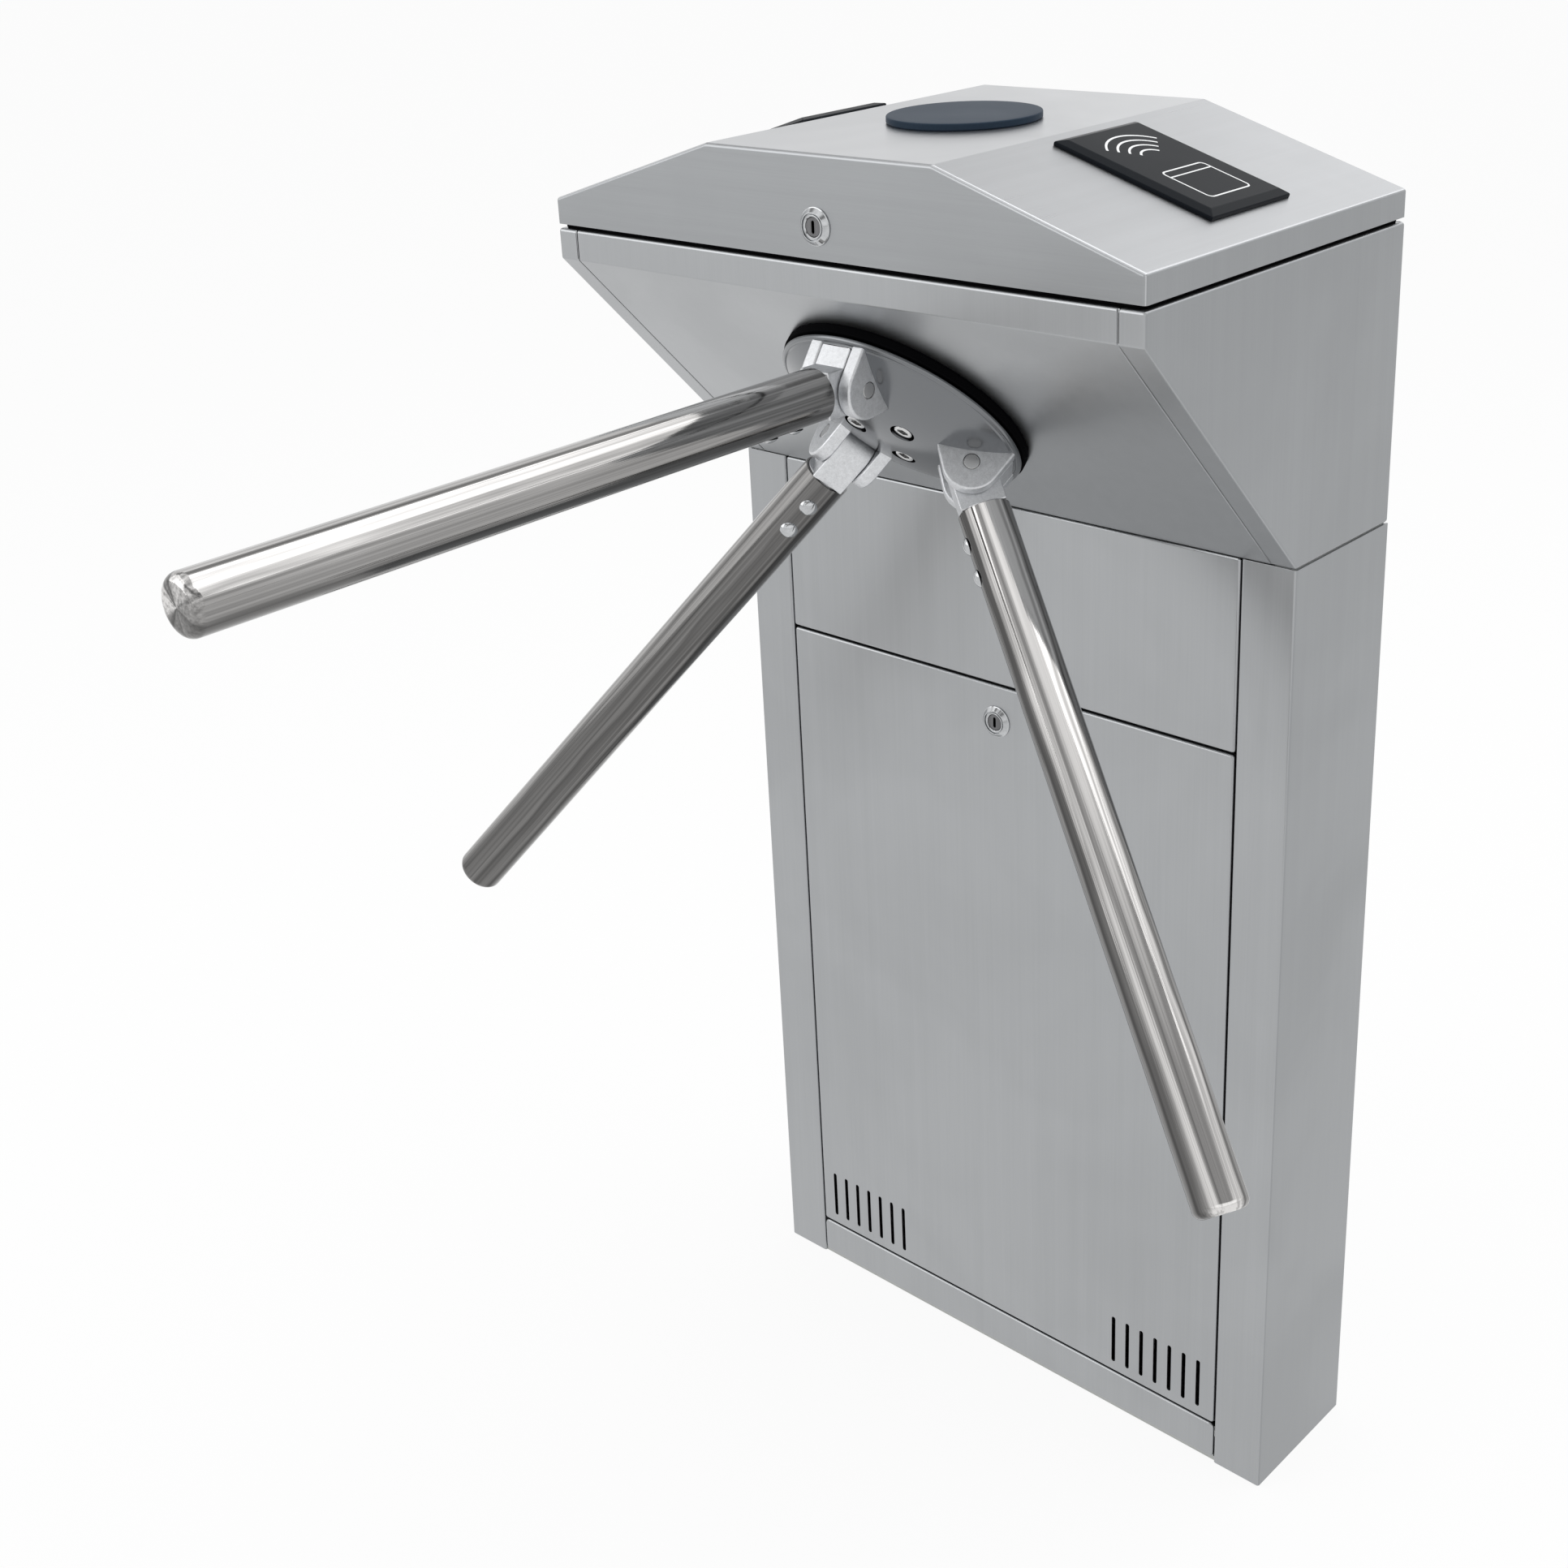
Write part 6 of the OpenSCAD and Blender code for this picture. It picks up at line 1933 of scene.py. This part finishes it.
@dataclass
class Arm:
    """One arm: a polished tube, its knuckle between the ears, and its two screws."""

    label: str
    place_in_hub: int
    hub: Hub = field(default_factory=Hub)
    reach: float = 471.98
    tube_r: float = 17.0
    wall: float = 1.5
    end_round: float = 6.0
    knuckle_t: float = 23.4
    screw_first: float = 46.0
    screw_pitch: float = 22.0
    screw_r: float = 6.0
    screw_count: int = 2
    spigot_len: float = 54.0
    foot_start: float = 0.73
    foot_clear: float = 0.4
    foot_slant: float = 11.7

    def place(self) -> np.ndarray:
        """The arm's frame: zero on its pivot, +Z along the arm, +X along the pin."""
        hub, around = self.hub, self.hub.around()[self.place_in_hub]
        return around @ shift(0, hub.pivot_r, hub.pivot_h) @ turn(0, -hub.plan.slope)

    def tube(self) -> None:
        """The tube: its wall, its eased mouth and its closed end, turned about its axis."""
        r, start, end = self.tube_r, self.hub.tube_start, self.reach
        inner = r - self.wall
        line = rounded([(0, end - self.end_round), (inner, end - self.end_round), (inner, start),
                        (r, start), (r, end), (0, end)],
                       [0, 0.5, 0.4, 0.5, self.end_round, 0], 9, closed=False)
        a = np.linspace(0, 1, 24)[1:-1]
        at = int(np.argmax((line[:-1, 0] > r - 0.01) & (line[1:, 1] - line[:-1, 1] > 100)))
        run = np.stack([np.full(len(a), r), line[at, 1] + a * (line[at + 1, 1] - line[at, 1])], -1)
        line = np.concatenate([line[:at + 1], run, line[at + 1:]])
        place = self.place()
        Piece(self.label + "_tube_polished", lathe(line, 96).placed(place), CHROME_TUBE_PAINTED_REFLECTIONS, self.label,
              (self.label + "_tube",), tube_frame=np.linalg.inv(place)).make()

    def foot(self) -> np.ndarray:
        """The knuckle's foot: along the dome, then up the slant that the ears share.

        Returns:
            Its corners in the knuckle's own (Y, Z), up to the knuckle's top.
        """
        hub, w = self.hub, self.hub.knuckle_half_w
        run = np.linspace(self.foot_start * w, hub.ear_fore[0] - 0.3, 4)
        heights = hub.dome_height(hub.pivot_r + run) + self.foot_clear - hub.pivot_h
        low = np.stack([run, heights], -1)
        lean, slant = math.radians(hub.plan.slope), math.radians(self.foot_slant)
        c, s = math.cos(lean), math.sin(lean)
        to_own = np.array([[c, s], [-s, c]])
        own, out = low @ to_own, np.array([math.cos(slant), math.sin(slant)]) @ to_own
        top = (w, (out @ own[-1] - out[0] * w) / out[1])
        return np.concatenate([own, [top]])

    def knuckle(self) -> None:
        """The knuckle: a rounded plate about the pin with its foot, and its spigot."""
        w, end = self.hub.knuckle_half_w, self.hub.tube_start - self.hub.slack
        foot = self.foot()
        a = np.linspace(np.pi, 2 * np.pi + math.atan2(foot[0, 1], foot[0, 0]) - 0.05, 29)
        top = [(w, end - 0.8), (w - 0.8, end), (-w + 0.8, end), (-w, end - 0.8)]
        outline = np.concatenate([w * np.stack([np.cos(a), np.sin(a)], -1), foot, top])
        half = self.knuckle_t / 2
        plate = stack(outline, eased(-half, half, 0.9, 5)).placed(FACING_RIGHT)
        r, tip = self.tube_r - self.wall - 0.3, end + self.spigot_len
        spigot = lathe([(0, end - 1), (r, end - 1), (r, tip), (0, tip)], 48)
        Piece(self.label + "_knuckle_cast", joined([plate, spigot]).placed(self.place()), CAST_EAR,
              self.label, (self.label + "_knuckle",), crease=28).make()

    def screws(self) -> None:
        """The screws: caps of a ball on the tube's inner side, (B sin a, h - B + B cos a)."""
        r, h = self.screw_r, self.screw_r / 2
        ball = (r ** 2 + h ** 2) / 2 / h
        a = np.linspace(math.asin(r / ball), 0, 12)
        dome = np.stack([ball * np.sin(a), h - ball + ball * np.cos(a)], -1)
        shank = [(0, -9.5), (3, -9.5), (3, -0.4), (r - 0.2, -0.4), (r, -0.1)]
        screw = lathe(np.concatenate([shank, dome]), 48)
        along = self.screw_first + self.screw_pitch * np.arange(self.screw_count)
        places = [self.place() @ shift(0, -self.tube_r, z) @ FACING_FRONT for z in along]
        Piece(self.label + "_screws_domed", repeated(screw, places), CHROME_SMALL, self.label,
              (self.label + "_screws",)).make()

    def build(self) -> None:
        """Makes the arm's pieces."""
        self.tube()
        self.knuckle()
        self.screws()


@dataclass
class Mechanism:
    """What lies inside the head and the pedestal: CAD nodes that stay, each with its finish."""

    finishes: tuple[tuple[Finish, tuple[str, ...]], ...] = (
        (INNER_STEEL, ("mechanism_posts", "mechanism_plate", "lock_wheel", "sensor_disc")),
        (BRIGHT_STEEL, ("main_shaft", "shaft_bearings", "shaft_nut", "right_plunger",
                        "left_plunger", "centring_spring")),
        (COIL_STEEL, ("solenoids", "right_pawl", "left_pawl")),
        (BRASS, ("shaft_gear", "crank_pinion", "damper_pinion")),
        (BLACK_PLASTIC_PAINTED_SHEEN, ("damper_body", "sensor_fork", "terminal_strip")),
        (BOARD, ("control_board",)),
        (SUPPLY_CASE, ("power_supply",)),
    )

    def build(self) -> None:
        """Gives each node its finish."""
        for finish, nodes in self.finishes:
            dress(finish, *nodes)


# ---------------------------------------------------------------- the studio


@dataclass
class Studio:
    """Floor, lamps, surroundings and camera."""

    lens: float = 49.07
    shift_x: float = 0.0014
    shift_y: float = -0.0860
    spot: tuple[float, float, float] = (0.8676, -1.1529, 1.1802)
    turn_vector: tuple[float, float, float] = (1.86529258, 0.704516524, -0.543434549)
    floor_r: float = 30.0
    floor_z: float = -0.0005
    floor_level: float = 0.85
    floor_glow: float = 0.90
    sky_level: float = 0.80
    sky_bands: tuple[tuple[float, float], ...] = (
        (0.0, 0.6), (0.50, 0.75), (0.53, 1.15), (0.70, 1.15), (0.76, 0.95), (0.80, 0.35),
        (0.85, 0.35), (0.90, 1.1), (1.0, 0.9))

    def camera(self) -> None:
        """The camera, at the place and tilt worked out from the cabinet's corners."""
        data = bpy.data.cameras.new("camera")
        data.sensor_width, data.lens = 36.0, self.lens
        data.shift_x, data.shift_y = self.shift_x, self.shift_y
        data.clip_start, data.clip_end = 0.05, 100.0
        camera = bpy.data.objects.new("camera", data)
        v = np.array(self.turn_vector)
        angle = np.linalg.norm(v)
        x, y, z = v / angle
        cross = np.array([[0, -z, y], [z, 0, -x], [-y, x, 0]])
        look = np.eye(3) + math.sin(angle) * cross + (1 - math.cos(angle)) * cross @ cross
        place = np.eye(4)
        place[:3, :3] = look.T @ np.diag([1, -1, -1])
        place[:3, 3] = self.spot
        camera.matrix_world = Matrix(place)
        bpy.context.scene.collection.objects.link(camera)
        bpy.context.scene.camera = camera

    def lamp(self, name: str, spot: Sequence[float], aim: Sequence[float], size: float,
             power: float) -> None:
        """A square soft lamp.

        Args:
            name: the lamp's name.
            spot: where it stands, in metres.
            aim: the point it faces.
            size: its side.
            power: its power in watts.
        """
        data = bpy.data.lights.new(name, "AREA")
        data.shape, data.size, data.energy = "SQUARE", size, power
        lamp = bpy.data.objects.new(name, data)
        lamp.location = spot
        lamp.rotation_euler = (Vector(aim) - Vector(spot)).to_track_quat("-Z", "Y").to_euler()
        bpy.context.scene.collection.objects.link(lamp)

    def floor(self) -> None:
        """A wide pale floor that shows white and still takes the shadow."""
        rim = circle(self.floor_r, 96)
        mesh = bpy.data.meshes.new("floor")
        mesh.from_pydata(np.c_[rim, np.full(len(rim), self.floor_z)].tolist(), [],
                         [list(range(len(rim)))])
        floor = bpy.data.objects.new("floor", mesh)
        bpy.context.scene.collection.objects.link(floor)
        made = bpy.data.materials.new("studio_floor")
        made.use_nodes = True
        wiring = Wiring(made.node_tree)
        wiring.tree.nodes.clear()
        plain, lit, path, mix, out = (wiring.node(kind) for kind in (
            "BsdfDiffuse", "Emission", "LightPath", "MixShader", "OutputMaterial"))
        wiring.feed(plain.inputs[0], (*[self.floor_level] * 3, 1))
        wiring.feed(lit.inputs["Strength"], 1.0)
        bounced = wiring.math("MAXIMUM", path.outputs["Is Glossy Ray"],
                              path.outputs["Is Transmission Ray"])
        seen = wiring.math("MAXIMUM", path.outputs["Is Camera Ray"], bounced)
        shares = (wiring.math("MULTIPLY", seen, self.floor_glow), plain.outputs[0], lit.outputs[0])
        for slot, value in zip(mix.inputs, shares):
            wiring.feed(slot, value)
        wiring.feed(out.inputs[0], mix.outputs[0])
        mesh.materials.append(made)

    def surroundings(self) -> None:
        """A white world to the camera, soft bands of light and dark to polished metal."""
        world = bpy.data.worlds.new("studio")
        bpy.context.scene.world = world
        world.use_nodes = True
        wiring = Wiring(world.node_tree)
        wiring.tree.nodes.clear()
        sky = wiring.node("TexCoord").outputs["Generated"]
        height = wiring.ranged(wiring.parted(sky)["Z"], -1.0, 1.0)
        patches = wiring.ranged(wiring.noise(sky, 2.3, 2, 0.5), 0.38, 0.62, 0.82, 1.08)
        studio = wiring.scaled(wiring.ramp(height, self.sky_bands), patches)
        path, back, out = (wiring.node(kind)
                           for kind in ("LightPath", "Background", "OutputWorld"))
        by_kind = wiring.mixed_colour(path.outputs["Is Glossy Ray"], (*[self.sky_level] * 3, 1),
                                      studio)
        by_camera = wiring.mixed_colour(path.outputs["Is Camera Ray"], by_kind, (1, 1, 1, 1))
        wiring.feed(back.inputs[0], by_camera)
        wiring.feed(out.inputs[0], back.outputs[0])

    def build(self) -> None:
        """Sets the whole studio."""
        bpy.context.scene.view_settings.view_transform = "Standard"
        self.camera()
        self.floor()
        self.surroundings()
        self.lamp("top_lamp", spot=(0.6, 0.8, 2.6), aim=(0, 0, 0.6), size=2.8, power=28)
        self.lamp("front_lamp", spot=(-1.6, -2.0, 1.9), aim=(0, -0.1, 0.6), size=2.2, power=18)


def main() -> None:
    """Builds the turnstile round its solids, then the studio."""
    logging.basicConfig(level=logging.INFO, format="%(name)s %(message)s")
    pedestal, lid = Pedestal(), Lid()
    lid_lock = CamLock("lid_lock", "lid_lock_barrel", "lid_lock_plug", "lid", "lid_lock",
                       face_y=PLAN.head_front_y, height=lid.lock_z, length=19.5,
                       cam_low=(-6.5, -30.0), cam_high=(6.5, 6.5))
    door_lock = CamLock("door_lock", "door_lock_barrel", "door_lock_plug", "door", "door_lock",
                        face_y=PLAN.front_y, height=pedestal.lock_z, length=12.5,
                        cam_low=(-6.5, -6.5), cam_high=(33.0, 6.5))
    arms = [Arm(label, k) for k, label in enumerate(("level_arm", "right_arm", "left_arm"))]
    for assembly in (pedestal, Head(), lid, lid_lock, door_lock, BackFittings(), Hub(), *arms,
                     Mechanism(), Studio()):
        assembly.build()
        log.info("%s built", type(assembly).__name__)


if __name__ == "__main__":
    main()
